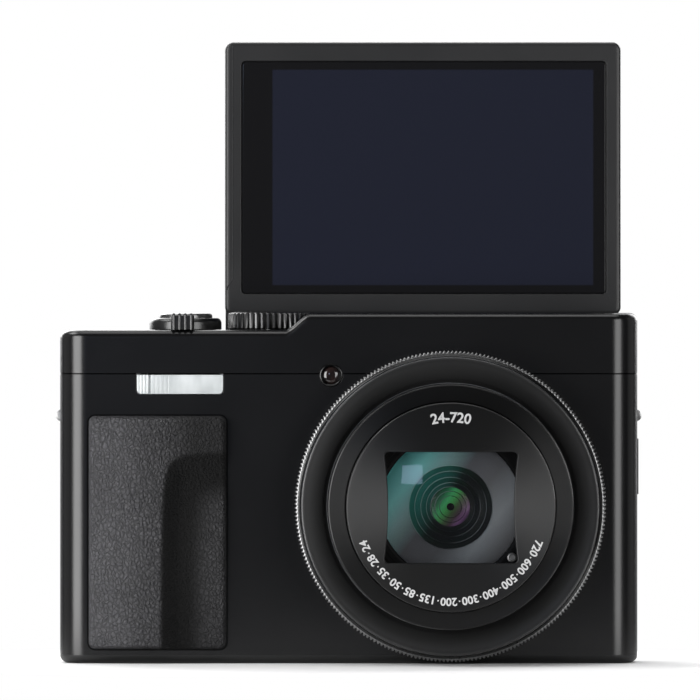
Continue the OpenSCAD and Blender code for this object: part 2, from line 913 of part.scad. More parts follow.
module function_button() {
  rear_button(function_at);
}

module playback_button() {
  rear_button(playback_at);
}

module delete_button() {
  rear_button(delete_at);
}

module dial_gimbal() {
  color([0.3, 0.3, 0.32])
  at_rear(wheel_x, wheel_z) tube(9, 5, rear_d - 4, rear_d - 3.3);
}

module dial_base() {
  color([0.18, 0.18, 0.19])
  at_rear(wheel_x, wheel_z) {
    tube(8.8, 4.08, rear_d - 2.7, rear_d - 1.9);
    tube(4.6, 4.08, rear_d - 1.9, rear_d + 0.4);
  }
}

module control_dial() {
  color([0.2, 0.2, 0.21])
  at_rear(wheel_x, wheel_z)
  difference() {
    union() {
      translate([0, 0, rear_d - 1.7]) cylinder(r = 9.3, h = 1.9);
      translate([0, 0, rear_d + 0.2]) linear_extrude(0.9) toothed(wheel_r, 0.3, 60);
    }
    translate([0, 0, rear_d - 3]) cylinder(r = 4.6 + fit, h = 6);
  }
}

module menu_button() {
  color([0.18, 0.18, 0.19])
  at_rear(wheel_x, wheel_z) {
    translate([0, 0, rear_d - 1.8]) cylinder(r = 4, h = 2.9);
    translate([0, 0, rear_d - 3]) cylinder(r = 1.2, h = 1.4);
  }
}

front_cover();
rear_cover();
top_cover();
bottom_plate();
grip_pad();
thumb_rest();
flash_window();
flash_reflector();
af_lamp_window();
strap_lug(-1);  // strap_lug_left
strap_lug(1);  // strap_lug_right
tripod_socket();
body_screws();
main_board();
battery_holder();
battery();
memory_card();
hdmi_socket();
usb_socket();
eyepiece_frame();
eyepiece_lens();
hinge_block();
hinge_pin();
lens_base();
lens_shroud();
image_sensor();
battery_door();
battery_latch();
battery_catch();
terminal_door();
shutter_button();
zoom_lever();
mode_dial();
power_button();
movie_button();
playback_button();
function_button();
viewfinder_button();
delete_button();
dial_gimbal();
dial_base();
control_dial();
menu_button();
diopter_dial();
hinge_bracket();
screen_frame();
screen_cover();
screen_glass();
screen_module();
control_ring();
cam_ring();
outer_barrel();
inner_barrel();
name_ring();
blade_upper_front();
blade_upper_rear();
blade_lower_front();
blade_lower_rear();
front_lens();
inner_lens_group();
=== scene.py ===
import math

import bmesh
import bpy
from mathutils import Matrix, Vector


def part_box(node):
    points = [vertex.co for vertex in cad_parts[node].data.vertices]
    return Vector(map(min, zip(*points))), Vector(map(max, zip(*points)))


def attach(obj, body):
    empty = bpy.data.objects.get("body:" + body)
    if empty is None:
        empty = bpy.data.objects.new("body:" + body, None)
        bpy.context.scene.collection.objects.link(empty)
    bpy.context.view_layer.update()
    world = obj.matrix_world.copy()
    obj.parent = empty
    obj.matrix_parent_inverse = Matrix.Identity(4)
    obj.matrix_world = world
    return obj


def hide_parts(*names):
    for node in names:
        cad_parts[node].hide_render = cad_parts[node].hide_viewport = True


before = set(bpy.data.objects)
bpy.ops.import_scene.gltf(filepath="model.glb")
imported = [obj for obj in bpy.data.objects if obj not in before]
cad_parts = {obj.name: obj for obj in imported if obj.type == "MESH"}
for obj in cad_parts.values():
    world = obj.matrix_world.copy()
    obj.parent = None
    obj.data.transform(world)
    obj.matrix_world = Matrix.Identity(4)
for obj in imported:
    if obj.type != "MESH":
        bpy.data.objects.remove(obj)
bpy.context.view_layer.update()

MM = 0.001


# ---------------------------------------------------------------- sizes, in mm, from the frame

def cad(node):
    """Lowest and highest corner of a CAD node, in millimetres."""
    lo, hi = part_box(node)
    return lo / MM, hi / MM


COVER_LO, COVER_HI = cad("front_cover")
REAR_HI = cad("rear_cover")[1]
TOP_LO, TOP_HI = cad("top_cover")
BASE_HI = cad("bottom_plate")[1]
HALF_W = COVER_HI.x
FRONT = COVER_LO.y
REAR = TOP_HI.y
SPLIT = COVER_HI.y
BASE_T = BASE_HI.z
SEAM = TOP_LO.z
REAR_SEAM = REAR_HI.z
HUMP = TOP_HI.z
CORNER_R = 5.25
WALL = 1.3

DIAL_LO, DIAL_HI = cad("mode_dial")
DIAL_X = (DIAL_LO.x + DIAL_HI.x) / 2
DIAL_Y = (DIAL_LO.y + DIAL_HI.y) / 2
DIAL_R = (DIAL_HI.x - DIAL_LO.x) / 2
PLATE = DIAL_HI.z - 3.5
SLOPE_X0 = -12.1
SLOPE_X1 = -7.6

RING_LO, RING_HI = cad("control_ring")
LENS_X = (RING_LO.x + RING_HI.x) / 2
LENS_Z = (RING_LO.z + RING_HI.z) / 2
RING_R = (RING_HI.x - RING_LO.x) / 2
LENS_HOLE_R = 27.8

LENS = (LENS_X, 0, LENS_Z)
CLEAR = 0.08


# ---------------------------------------------------------------- mesh tools

def new_object(name, bm):
    """Object from a bmesh drawn in millimetres."""
    bmesh.ops.scale(bm, vec=Vector((MM, MM, MM)), verts=bm.verts)
    bmesh.ops.recalc_face_normals(bm, faces=bm.faces)
    mesh = bpy.data.meshes.new(name)
    bm.to_mesh(mesh)
    bm.free()
    obj = bpy.data.objects.new(name, mesh)
    bpy.context.scene.collection.objects.link(obj)
    return obj


def shade(obj, angle=35.0, weighted=True):
    """Smooth faces, with edges sharper than the angle kept crisp."""
    bm = bmesh.new()
    bm.from_mesh(obj.data)
    limit = math.radians(angle)
    for face in bm.faces:
        face.smooth = True
    for edge in bm.edges:
        edge.smooth = len(edge.link_faces) == 2 and edge.calc_face_angle(0.0) < limit
    bm.to_mesh(obj.data)
    bm.free()
    if weighted:
        mod = obj.modifiers.new("weighted", "WEIGHTED_NORMAL")
        mod.keep_sharp = True


def round_edges(obj, width, segments=2, angle=40.0):
    """Rounds every edge sharper than the angle, by a width in millimetres."""
    bm = bmesh.new()
    bm.from_mesh(obj.data)
    bmesh.ops.remove_doubles(bm, verts=bm.verts, dist=1e-7)
    bmesh.ops.dissolve_limit(bm, angle_limit=math.radians(0.5), verts=bm.verts, edges=bm.edges)
    limit = math.radians(angle)
    edges = [e for e in bm.edges if len(e.link_faces) == 2 and e.calc_face_angle(0.0) > limit]
    bmesh.ops.bevel(bm, geom=edges, offset=width * MM, offset_type="OFFSET", segments=segments,
                    profile=0.5, affect="EDGES", clamp_overlap=True)
    bm.to_mesh(obj.data)
    bm.free()


def bake_modifiers(obj):
    """Replaces the mesh by what its modifiers make of it."""
    graph = bpy.context.evaluated_depsgraph_get()
    mesh = bpy.data.meshes.new_from_object(obj.evaluated_get(graph))
    obj.modifiers.clear()
    old = obj.data
    obj.data = mesh
    bpy.data.meshes.remove(old)


def cut(obj, tools, operation="DIFFERENCE"):
    """Takes the tool objects away from obj, or joins them to it, and deletes them."""
    for tool in tools:
        mod = obj.modifiers.new("cut", "BOOLEAN")
        mod.operation = operation
        mod.solver = "EXACT"
        mod.object = tool
    bake_modifiers(obj)
    for tool in tools:
        mesh = tool.data
        bpy.data.objects.remove(tool)
        bpy.data.meshes.remove(mesh)


def place(obj, body, material, replaces=(), angle=35.0, weighted=True):
    """Shades a piece, gives it its material, and sets it on its body."""
    shade(obj, angle, weighted)
    obj.data.materials.clear()
    obj.data.materials.append(material)
    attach(obj, body)
    if replaces:
        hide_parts(*replaces)


def skin(bm, rings, closed=False):
    """Joins neighbouring rings of vertices with quads. Closed also joins the last to the first."""
    count = len(rings[0])
    for a, b in zip(rings, rings[1:] + (rings[:1] if closed else [])):
        for i in range(count):
            j = (i + 1) % count
            bm.faces.new((a[i], a[j], b[j], b[i]))


PUT = {"Z": lambda p, h: (p[0], p[1], h), "Y": lambda p, h: (p[0], h, p[1]), "X": lambda p,
       h: (h, p[0], p[1])}


def add_prism(bm, outline, low, high, axis="Z"):
    """Closed prism of a 2D outline. Axis Z takes (x, y); Y takes (x, z); X takes (y, z)."""
    bottom, top = ([bm.verts.new(PUT[axis](p, h)) for p in outline] for h in (low, high))
    bm.faces.new(bottom)
    bm.faces.new(top)
    skin(bm, [bottom, top])


def add_box(bm, x0, x1, y0, y1, z0, z1):
    add_prism(bm, [(x0, y0), (x1, y0), (x1, y1), (x0, y1)], z0, z1)


def box_object(*corners):
    bm = bmesh.new()
    add_box(bm, *corners)
    return new_object("tool", bm)


AXES = {
    "X": Matrix(((0, 0, 1), (1, 0, 0), (0, 1, 0))),
    "Y": Matrix(((1, 0, 0), (0, 0, 1), (0, 1, 0))),
    "-Y": Matrix(((1, 0, 0), (0, 0, -1), (0, 1, 0))),
    "Z": Matrix.Identity(3),
}


def add_lathe(bm, profile, centre, axis="Z", steps=96, closed=False):
    """Turns (radius, height) points round an axis through centre. A closed profile makes a ring."""
    turn, centre = AXES[axis], Vector(centre)
    loops = []
    for radius, height in profile:
        if radius < 1e-6:
            loops.append([bm.verts.new(centre + turn @ Vector((0, 0, height)))])
            continue
        loops.append([bm.verts.new(centre + turn @ Vector((
            radius * math.cos(math.tau * i / steps), radius * math.sin(math.tau * i / steps), height)))
            for i in range(steps)])
    pairs = list(zip(loops, loops[1:] + loops[:1])) if closed else list(zip(loops, loops[1:]))
    for a, b in pairs:
        for i in range(steps):
            j = (i + 1) % steps
            corners = [a[i % len(a)], a[j % len(a)], b[j % len(b)], b[i % len(b)]]
            unique = list(dict.fromkeys(corners))
            if len(unique) > 2:
                bm.faces.new(unique)


def lathe(name, profile, centre, axis="Z", steps=96, closed=False):
    bm = bmesh.new()
    add_lathe(bm, profile, centre, axis, steps, closed)
    return new_object(name, bm)


def rod(radius, low, high, centre, axis, steps=64):
    """Plain closed cylinder, to cut with."""
    return lathe("tool", [(0, low), (radius, low), (radius, high), (0, high)], centre, axis, steps)


def arc(centre, radius, start, end, steps):
    """Points on an arc, angles in degrees."""
    return [(centre[0] + radius * math.cos(math.radians(start + (end - start) * i / steps)),
             centre[1] + radius * math.sin(math.radians(start + (end - start) * i / steps)))
            for i in range(steps + 1)]


def round_rect(x0, x1, y0, y1, radius, steps=8):
    return (arc((x1 - radius, y0 + radius), radius, -90, 0, steps)
            + arc((x1 - radius, y1 - radius), radius, 0, 90, steps)
            + arc((x0 + radius, y1 - radius), radius, 90, 180, steps)
            + arc((x0 + radius, y0 + radius), radius, 180, 270, steps))


def add_loops(bm, loops, cap_first=True, cap_last=True, closed=False):
    """Skins a stack of loops that all have the same number of 3D points. Closed makes a ring of it."""
    rings = [[bm.verts.new(p) for p in loop] for loop in loops]
    skin(bm, rings, closed)
    if cap_first and not closed:
        bm.faces.new(rings[0])
    if cap_last and not closed:
        bm.faces.new(rings[-1])
    return rings


def knurled(name, stations, teeth, wave, depth, centre, axis, closed=False):
    """Toothed wheel or ring. Stations are (height, radius, share of the tooth depth)."""
    turn, centre = AXES[axis], Vector(centre)
    count = teeth * len(wave)

    def point(i, height, radius, share):
        reach = radius + share * depth * wave[i % len(wave)]
        a = math.tau * i / count
        return centre + turn @ Vector((reach * math.cos(a), reach * math.sin(a), height))

    bm = bmesh.new()
    add_loops(bm, [[point(i, *station) for i in range(count)] for station in stations], closed=closed)
    return new_object(name, bm)


# ---------------------------------------------------------------- materials

class Graph:
    """A node tree, with short calls for the nodes used here. Results are passed on as sockets."""

    def __init__(self, tree):
        self.nodes, self.links = tree.nodes, tree.links

    def feed(self, node, key, value):
        """Sets a node's input to a value, or links it to a socket."""
        if isinstance(value, bpy.types.NodeSocket):
            self.links.new(value, node.inputs[key])
        else:
            node.inputs[key].default_value = value

    def add(self, kind, inputs=None, **settings):
        node = self.nodes.new("ShaderNode" + kind)
        for key, value in settings.items():
            setattr(node, key, value)
        for key, value in (inputs or {}).items():
            self.feed(node, key, value)
        return node

    def coords(self, scale=(1, 1, 1)):
        """Object coordinates, stretched by a scale."""
        start = self.add("TexCoord").outputs["Object"]
        return self.add("Mapping", {"Scale": scale, "Vector": start}).outputs["Vector"]

    def noise(self, vector, scale, detail=3.0, roughness=0.55, output="Fac"):
        inputs = {"Scale": scale, "Detail": detail, "Roughness": roughness, "Vector": vector}
        return self.add("TexNoise", inputs).outputs[output]

    def ramp(self, source, stops):
        """Colour ramp through (position, colour) stops."""
        node = self.add("ValToRGB", {"Fac": source})
        elements = node.color_ramp.elements
        while len(elements) < len(stops):
            elements.new(0.5)
        for element, (position, colour) in zip(elements, stops):
            element.position = position
            element.color = colour
        return node.outputs["Color"]

    def remap(self, source, low, high, start=0.0, end=1.0):
        """Turns start..end into low..high."""
        inputs = {"From Min": start, "From Max": end, "To Min": low, "To Max": high, "Value": source}
        return self.add("MapRange", inputs).outputs["Result"]

    def mix(self, one, two, factor, blend="MIX"):
        inputs = {"Factor": factor, "A": one, "B": two}
        return self.add("Mix", inputs, data_type="RGBA", blend_type=blend).outputs["Result"]


class Surface(Graph):
    """Material with a Principled shader, whose constants are given by name."""

    def __init__(self, name, **values):
        self.mat = bpy.data.materials.new(name)
        self.mat.use_nodes = True
        super().__init__(self.mat.node_tree)
        for key, value in values.items():
            self.put(key.replace("_", " "), value)

    def put(self, key, value):
        self.feed(self.nodes["Principled BSDF"], key, value)

    def tone(self, source, low, high):
        """Base colour between two shades, following the source."""
        self.put("Base Color", self.ramp(source, [(0.3, low), (0.7, high)]))

    def gloss(self, source, low, high):
        self.put("Roughness", self.remap(source, low, high))

    def bump(self, height, distance):
        node = self.add("Bump", {"Strength": 1.0, "Distance": distance, "Height": height})
        self.put("Normal", node.outputs["Normal"])


def grey(value, tint=(1.0, 1.0, 1.0)):
    return (value * tint[0], value * tint[1], value * tint[2], 1.0)


BROAD_SCALE = 45.0      # noise scale of slow changes across a piece, per metre


def moulded(name, base, rough, tint=(1, 1, 1), depth=0.000012, spread=0.06, specular=0.5):
    """Moulded or painted surface: fine grain, slight colour and gloss variation."""
    g = Surface(name, Specular_IOR_Level=specular)
    vector = g.coords()
    broad = g.noise(vector, BROAD_SCALE)
    g.tone(broad, grey(base * 0.88, tint), grey(base * 1.12, tint))
    g.gloss(broad, rough - spread, rough + spread)
    g.bump(g.noise(vector, 2600.0, 2.0), depth)
    return g.mat


def metal(name, base, rough, tint=(1, 1, 1)):
    """Metal with fine machining marks."""
    g = Surface(name, Metallic=1.0)
    marks = g.noise(g.coords(), 1800.0)
    g.tone(marks, grey(base * 0.9, tint), grey(base * 1.08, tint))
    g.gloss(marks, rough - 0.05, rough + 0.07)
    g.bump(marks, 0.000006)
    return g.mat


def turned(name, base, rough, spread, specular=0.5):
    """Satin black turned on a lathe: fine circular marks that draw highlights out across them."""
    g = Surface(name, Specular_IOR_Level=specular, Anisotropic=spread, Anisotropic_Rotation=0.25)
    g.put("Tangent", g.add("Tangent", direction_type="RADIAL", axis="Y").outputs["Tangent"])
    vector = g.coords()
    broad = g.noise(vector, BROAD_SCALE)
    g.tone(broad, grey(base * 0.9), grey(base * 1.1))
    g.gloss(broad, rough - 0.03, rough + 0.03)
    g.bump(g.noise(vector, 2400.0, 2.0), 0.000003)
    return g.mat


def leather(name, base, painted_shading=False):
    """Leather-grained rubber: fine pebbles with shallow creases, in cells of two sizes, pushed about so that
    they don't look drawn. Painted shade darkens the creases and a painted sheen lightens the pebble tops.
    With painted shading, the leather also takes painted light and shade from the mesh's tone values, and is
    made rougher where they paint it dark."""
    g = Surface(name, Specular_IOR_Level=0.36)
    vector = g.coords((1.0, 0.6, 0.8))
    warp = g.noise(vector, 700.0, 3.0, 0.5, "Color")
    reach = (0.0008, 0.0008, 0.0008)
    push = g.add("VectorMath", {0: warp, 1: reach, 2: vector}, operation="MULTIPLY_ADD").outputs["Vector"]
    crease = [(0.0, grey(0.0)), (0.12, grey(0.45)), (0.45, grey(1.0))]
    small, large = (g.ramp(g.add("TexVoronoi", {"Scale": scale, "Vector": push},
                                 feature="DISTANCE_TO_EDGE").outputs["Distance"], crease)
                    for scale in (1350.0, 560.0))
    height = g.mix(small, large, 0.2)
    patch = g.noise(vector, 110.0)
    # Painted shade in the creases and a painted sheen on the pebble tops: the colour follows the grain
    # height.
    result = g.ramp(height, [(0.0, grey(base * 0.6, (1, 1, 1.05))), (0.45, grey(base, (1, 0.99, 1.06))),
                             (1.0, grey(base * 1.16, (1, 0.98, 1.1)))])
    result = g.mix(result, g.ramp(patch, [(0.3, grey(0.8)), (0.7, grey(1.1))]), 1.0, "MULTIPLY")
    if painted_shading:
        # Painted light and shade: the tone attribute lightens the leather where it faces the lights and
        # darkens it in the finger hollow; the roughness follows it, rougher where painted dark.
        tone = g.add("Attribute", attribute_name="tone").outputs["Fac"]
        result = g.mix(result, tone, 1.0, "MULTIPLY")
        g.put("Roughness", g.remap(tone, 0.95, 0.4, 0.0, 0.5))
    else:
        g.gloss(patch, 0.36, 0.5)
    g.put("Base Color", result)
    g.bump(g.mix(height, g.noise(push, 1700.0), 0.6), 0.001)
    return g.mat


def clear_glass(name, low, high, rough, alpha, ior):
    """Thin coated glass that lets light through."""
    g = Surface(name, Alpha=alpha, Roughness=rough, IOR=ior)
    g.tone(g.noise(g.coords(), 30.0, 1.0), low, high)
    return g.mat


def painted_reflection_ramp(name, stops, direction, span, rough):
    """Lens surface with painted reflections: its colour runs along a direction across the lens, standing in
    for the lights reflected in the coatings.
    """
    g = Surface(name)
    start, centre = g.add("TexCoord").outputs["Object"], tuple(c * MM for c in LENS)
    offset = g.add("VectorMath", {0: start, 1: centre}, operation="SUBTRACT").outputs["Vector"]
    along = g.add("VectorMath", {0: offset, 1: direction}, operation="DOT_PRODUCT").outputs["Value"]
    g.put("Base Color", g.ramp(g.remap(along, 0.0, 1.0, -span * MM, span * MM), stops))
    g.gloss(g.noise(g.coords(), 900.0, 2.0), rough - 0.04, rough + 0.04)
    return g.mat


MAT = {
    "body": moulded("body_black", 0.003, 0.25, (1, 1, 1.08), depth=0.000004, spread=0.02),
    "top": moulded("top_black", 0.003, 0.24, (1, 1, 1.08), depth=0.000004, spread=0.02),
    "base": moulded("base_black", 0.006, 0.4),
    "door": moulded("door_black", 0.006, 0.35),
    "leather": leather("grip_leather", 0.064, True),
    "thumb": leather("thumb_leather", 0.028),
    "ring": metal("ring_black", 0.055, 0.28),
    "barrel": turned("barrel_black", 0.0025, 0.34, 0.85),
    "shroud": turned("shroud_black", 0.014, 0.4, 0.7, 0.9),
    "name": turned("name_ring_black", 0.0025, 0.36, 0.85),
    "blade": moulded("blade_black", 0.0015, 0.3, specular=0.2),
    "matt": moulded("inside_black", 0.003, 0.6),
    "septum": moulded("septum_black", 0.0012, 0.3, specular=0.12),
    "edge": metal("edge_grey", 0.22, 0.3),
    "teeth": metal("teeth_grey", 0.22, 0.32),
    "control": moulded("control_black", 0.035, 0.3),
    "dial": metal("dial_metal", 0.06, 0.3),
    "ribs": metal("rib_metal", 0.09, 0.34),
    "chrome": metal("lug_chrome", 0.36, 0.3),
    "steel": metal("screw_steel", 0.35, 0.3),
    "brass": metal("socket_metal", 0.6, 0.28, (1, 0.93, 0.8)),
    "screen": moulded("screen_black", 0.0095, 0.4, (1, 1, 1.04)),
    "back": moulded("screen_back_black", 0.008, 0.4),
    "hinge": moulded("hinge_black", 0.008, 0.4),
    "grey": moulded("moulded_grey", 0.07, 0.5),
    "board": moulded("board_green", 0.05, 0.4, (0.3, 1.0, 0.5)),
    "card": moulded("card_blue", 0.06, 0.35, (0.25, 0.45, 1.0)),
    "battery": moulded("battery_sleeve", 0.05, 0.4),
    "catch": moulded("catch_orange", 0.45, 0.45, (1.0, 0.4, 0.1)),
    "red": moulded("record_red", 0.28, 0.25, (1.0, 0.06, 0.05)),
    "ink": moulded("print_white", 0.5, 0.5),
}


# ---------------------------------------------------------------- covers

def plan_half(inset, front, steps=14):
    """Half of the outline from above, as a path from the left split edge to the right one."""
    radius = CORNER_R - inset
    x = HALF_W - CORNER_R
    y = FRONT + CORNER_R if front else REAR - CORNER_R
    if front:
        left = arc((-x, y), radius, 180, 270, steps)
        right = arc((x, y), radius, 270, 360, steps)
    else:
        left = arc((-x, y), radius, 180, 90, steps)
        right = arc((x, y), radius, 90, 0, steps)
    return [(-HALF_W + inset, SPLIT)] + left + right + [(HALF_W - inset, SPLIT)]


def shell(name, front, top):
    outline = plan_half(0, front) + plan_half(WALL, front)[::-1]
    bm = bmesh.new()
    add_prism(bm, outline, BASE_T, top)
    return new_object(name, bm)


LUG_LO, LUG_HI = cad("strap_lug_right")
POCKET_Z = (44.9, 51.3)
POCKET_Y = (LUG_LO.y, LUG_HI.y)
POCKET_D = 2.4
DOOR_LO, DOOR_HI = cad("terminal_door")
PORT = (DOOR_LO.y - 0.15, DOOR_HI.y + 0.2, DOOR_LO.z - 0.2, DOOR_HI.z + 0.2)
FLASH_LO, FLASH_HI = cad("flash_window")
LAMP_LO, LAMP_HI = cad("af_lamp_window")
LAMP_X = (LAMP_LO.x + LAMP_HI.x) / 2
LAMP_Z = (LAMP_LO.z + LAMP_HI.z) / 2
LAMP_R = (LAMP_HI.x - LAMP_LO.x) / 2


def side_cuts():
    """Tools for the port opening and the two strap pockets."""
    return [
        box_object(HALF_W - 2, HALF_W + 1, *PORT),
        box_object(HALF_W - POCKET_D, HALF_W + 1, *POCKET_Y, *POCKET_Z),
        box_object(-HALF_W - 1, -HALF_W + POCKET_D, *POCKET_Y, *POCKET_Z),
    ]


def pocket_liners(front):
    """Blocks that close the strap pockets from inside, for one cover."""
    y0, y1 = (POCKET_Y[0] - WALL, SPLIT) if front else (SPLIT, POCKET_Y[1] + WALL)
    deep = POCKET_D + WALL
    return [box_object(x0, x1, y0, y1, POCKET_Z[0] - WALL, POCKET_Z[1] + WALL)
            for x0, x1 in ((-HALF_W + 0.6, -HALF_W + deep), (HALF_W - deep, HALF_W - 0.6))]


def lens_tool():
    return rod(LENS_HOLE_R, 5, 20, (LENS_X, 0, LENS_Z), "-Y", 128)


def lamp_tool():
    return rod(LAMP_R + CLEAR, 10, 15, (LAMP_X, 0, LAMP_Z), "-Y", 48)


def build_front_cover():
    obj = shell("front_cover_shell", True, SEAM)
    cut(obj, pocket_liners(True), "UNION")
    bm = bmesh.new()
    add_prism(bm, round_rect(FLASH_LO.x - 0.1, FLASH_HI.x + 0.1, FLASH_LO.z - 0.1, SEAM + 4, 0.9),
              FRONT - 1, FRONT + 3, "Y")
    cut(obj, [lens_tool(), lamp_tool(), new_object("tool", bm)] + side_cuts())
    round_edges(obj, 0.16)
    place(obj, "camera_body", MAT["body"], ["front_cover"])


PANEL_LO, PANEL_HI = cad("screen_frame")
RECESS_LEFT = PANEL_LO.x - 0.5
RECESS_RIGHT = PANEL_HI.x + 0.5
RECESS_FLOOR = 9.5
RECESS_BOTTOM = 2.0
WHEEL_LO, WHEEL_HI = cad("control_dial")
WHEEL_X = (WHEEL_LO.x + WHEEL_HI.x) / 2
WHEEL_Z = (WHEEL_LO.z + WHEEL_HI.z) / 2
WHEEL_R = (WHEEL_HI.x - WHEEL_LO.x) / 2
REAR_BUTTON_R = 2.5
REAR_BUTTONS = ("viewfinder_button", "function_button", "playback_button", "delete_button")


def centre_of(node):
    lo, hi = cad(node)
    return (lo + hi) / 2


def build_rear_cover():
    obj = shell("rear_cover_shell", False, REAR_SEAM)
    tray = box_object(RECESS_LEFT - WALL, HALF_W - 0.9, RECESS_FLOOR - WALL, REAR - 0.6, BASE_T, REAR_SEAM)
    cut(obj, pocket_liners(False) + [tray], "UNION")
    middles = [centre_of(node) for node in REAR_BUTTONS]
    holes = [rod(REAR_BUTTON_R + CLEAR, 7, 14, (c.x, 0, c.z), "Y", 40) for c in middles]
    holes.append(rod(WHEEL_R + 0.5, 7, 14, (WHEEL_X, 0, WHEEL_Z), "Y", 96))
    holes.append(box_object(RECESS_LEFT, RECESS_RIGHT, RECESS_FLOOR, REAR + 1, RECESS_BOTTOM,
                            REAR_SEAM + 1))
    cut(obj, holes + side_cuts())
    round_edges(obj, 0.18)
    place(obj, "camera_body", MAT["body"], ["rear_cover"])


def plate_height(x):
    """Height of the top plate at x, with the slope's ends eased."""
    t = min(1.0, max(0.0, (x - SLOPE_X0) / (SLOPE_X1 - SLOPE_X0)))
    eased = t * t * (3 - 2 * t)
    return PLATE + (HUMP - PLATE) * (0.55 * t + 0.45 * eased)


ARC_STEPS = 14


def top_loop(inset, drop, flat=None):
    """Outline at a drop below the top plate or at a flat height, with matching points for every inset."""
    radius = CORNER_R - inset
    xc, y0, y1 = HALF_W - CORNER_R, FRONT + CORNER_R, REAR - CORNER_R
    stations = [-xc, -40, -25] + [SLOPE_X0 - 1 + 0.5 * i for i in range(14)] + [10, 30, xc]
    path = [(x, FRONT + inset) for x in stations]
    path += arc((xc, y0), radius, 270, 360, ARC_STEPS)[1:]
    path += arc((xc, y1), radius, 0, 90, ARC_STEPS)
    path += [(x, REAR - inset) for x in reversed(stations[:-1])]
    path += arc((-xc, y1), radius, 90, 180, ARC_STEPS)[1:]
    path += arc((-xc, y0), radius, 180, 270, ARC_STEPS)[:-1]
    return [Vector((x, y, plate_height(x) - drop if flat is None else flat)) for x,
            y in path], len(stations)


def top_solid(inset, low, fillet, drop):
    """Closed block under the top plate, with a rounded upper edge."""
    bm = bmesh.new()
    loops = [top_loop(inset, 0, low)[0]]
    for i in range(6):
        a = math.radians(90 * i / 5)
        loops.append(top_loop(inset + fillet * (1 - math.cos(a)), drop + fillet * (1 - math.sin(a)))[0])
    rings = add_loops(bm, loops, cap_last=False)
    last, count = rings[-1], top_loop(0, 0)[1]
    side = (len(last) - 2 * count) // 2
    front = last[:count]
    rear = last[count + side:count + side + count][::-1]
    for i in range(count - 1):
        bm.faces.new((front[i], front[i + 1], rear[i + 1], rear[i]))
    bm.faces.new(last[count - 1:count + side + 1])
    bm.faces.new(last[count + side + count - 1:] + [last[0]])
    return new_object("top_block", bm)


def build_top_cover():
    obj = top_solid(0.0, SEAM + 0.2, 1.5, 0.0)
    hollow = top_solid(WALL, SEAM - 2, 0.6, WALL)
    cut(hollow, [rod(DIAL_R + 0.4 + WALL, PLATE - WALL, HUMP + 2, (DIAL_X, DIAL_Y, 0), "Z", 64),
                 box_object(RECESS_LEFT - WALL, HALF_W, RECESS_FLOOR - WALL, REAR + 1, REAR_SEAM,
                            REAR_SEAM + 1)])
    lever = centre_of("shutter_button")
    power, movie = centre_of("power_button"), centre_of("movie_button")
    tunnel_lo, tunnel_hi = cad("eyepiece_lens")
    wheel_lo, wheel_hi = cad("diopter_dial")
    wheel_y = (wheel_lo.y + wheel_hi.y) / 2
    tools = [
        hollow,
        box_object(-HALF_W - 1, HALF_W + 1, SPLIT, REAR + 1, SEAM - 1, REAR_SEAM),
        lens_tool(), lamp_tool(),
        rod(DIAL_R + 0.4, PLATE, HUMP + 2, (DIAL_X, DIAL_Y, 0), "Z", 96),
        rod(2.08, PLATE - 3, HUMP + 2, (DIAL_X, DIAL_Y, 0), "Z", 32),
        rod(5.98, PLATE - 3, HUMP + 2, (lever.x, lever.y, 0), "Z", 64),
        rod(2.68, PLATE - 3, HUMP + 2, (power.x, power.y, 0), "Z", 40),
        rod(2.48, PLATE - 3, HUMP + 2, (movie.x, movie.y, 0), "Z", 40),
        box_object(tunnel_lo.x - 1, tunnel_hi.x + 1, REAR - 3, REAR + 1, tunnel_lo.z - 0.8,
                   tunnel_hi.z + 0.8),
        box_object(HALF_W - 2, HALF_W + 1, wheel_y - 2.9, wheel_y + 2.9, wheel_lo.z - 0.3,
                   wheel_hi.z + 0.3),
    ]
    cut(obj, tools)
    obj.name = "top_cover_shell"
    round_edges(obj, 0.16, angle=50)
    place(obj, "camera_body", MAT["top"], ["top_cover"])


BAY_LO, BAY_HI = cad("battery_door")
DOOR_PIN_X = -14.3
TRIPOD_HOLE_R = 4.6
SCREW_HOLE_R = 1.55
SCREWS = ((-8.5, -7.5), (-8.5, 6.5), (50, -6.5), (50, 6))


def build_bottom_plate():
    bm = bmesh.new()
    loops = []
    for i in range(6):
        a = math.radians(90 * i / 5)
        inset, z = 1.9 * (1 - math.sin(a)), 1.5 * (1 - math.cos(a))
        outline = round_rect(-HALF_W + inset, HALF_W - inset, FRONT + inset, REAR - inset, CORNER_R - inset,
                             14)
        loops.append([Vector((x, y, z)) for x, y in outline])
    loops.append([Vector((p.x, p.y, BASE_T)) for p in loops[-1]])
    add_loops(bm, loops)
    obj = new_object("bottom_plate_shell", bm)
    tools = [box_object(BAY_LO.x - 0.2, -13, BAY_LO.y - 0.2, BAY_HI.y + 0.2, -1, 3),
             rod(TRIPOD_HOLE_R, -1, 4, (0, 0, 0), "Z", 64)]
    tools += [rod(SCREW_HOLE_R, -1, 4, (x, y, 0), "Z", 32) for x, y in SCREWS]
    cut(obj, tools)
    round_edges(obj, 0.12)
    place(obj, "camera_body", MAT["base"], ["bottom_plate"])
    pins = bmesh.new()
    for y0, y1 in ((BAY_LO.y - 0.2, BAY_LO.y + 1.8), (BAY_HI.y - 1.8, BAY_HI.y + 0.2)):
        add_lathe(pins, [(0, y0), (0.5, y0), (0.5, y1), (0, y1)], (DOOR_PIN_X, 0, 1.1), "Y", 24)
    pin_obj = new_object("door_pins", pins)
    place(pin_obj, "camera_body", MAT["steel"])


# ---------------------------------------------------------------- grip and thumb rest

def smooth(t):
    t = min(1.0, max(0.0, t))
    return t * t * (3 - 2 * t)


def edge_distance(x, z, x0, x1, z0, z1, radius):
    """Distance inside a rounded rectangle's edge."""
    dx = min(x - x0, x1 - x)
    dz = min(z - z0, z1 - z)
    if dx < radius and dz < radius:
        return radius - math.hypot(radius - dx, radius - dz)
    return min(dx, dz)


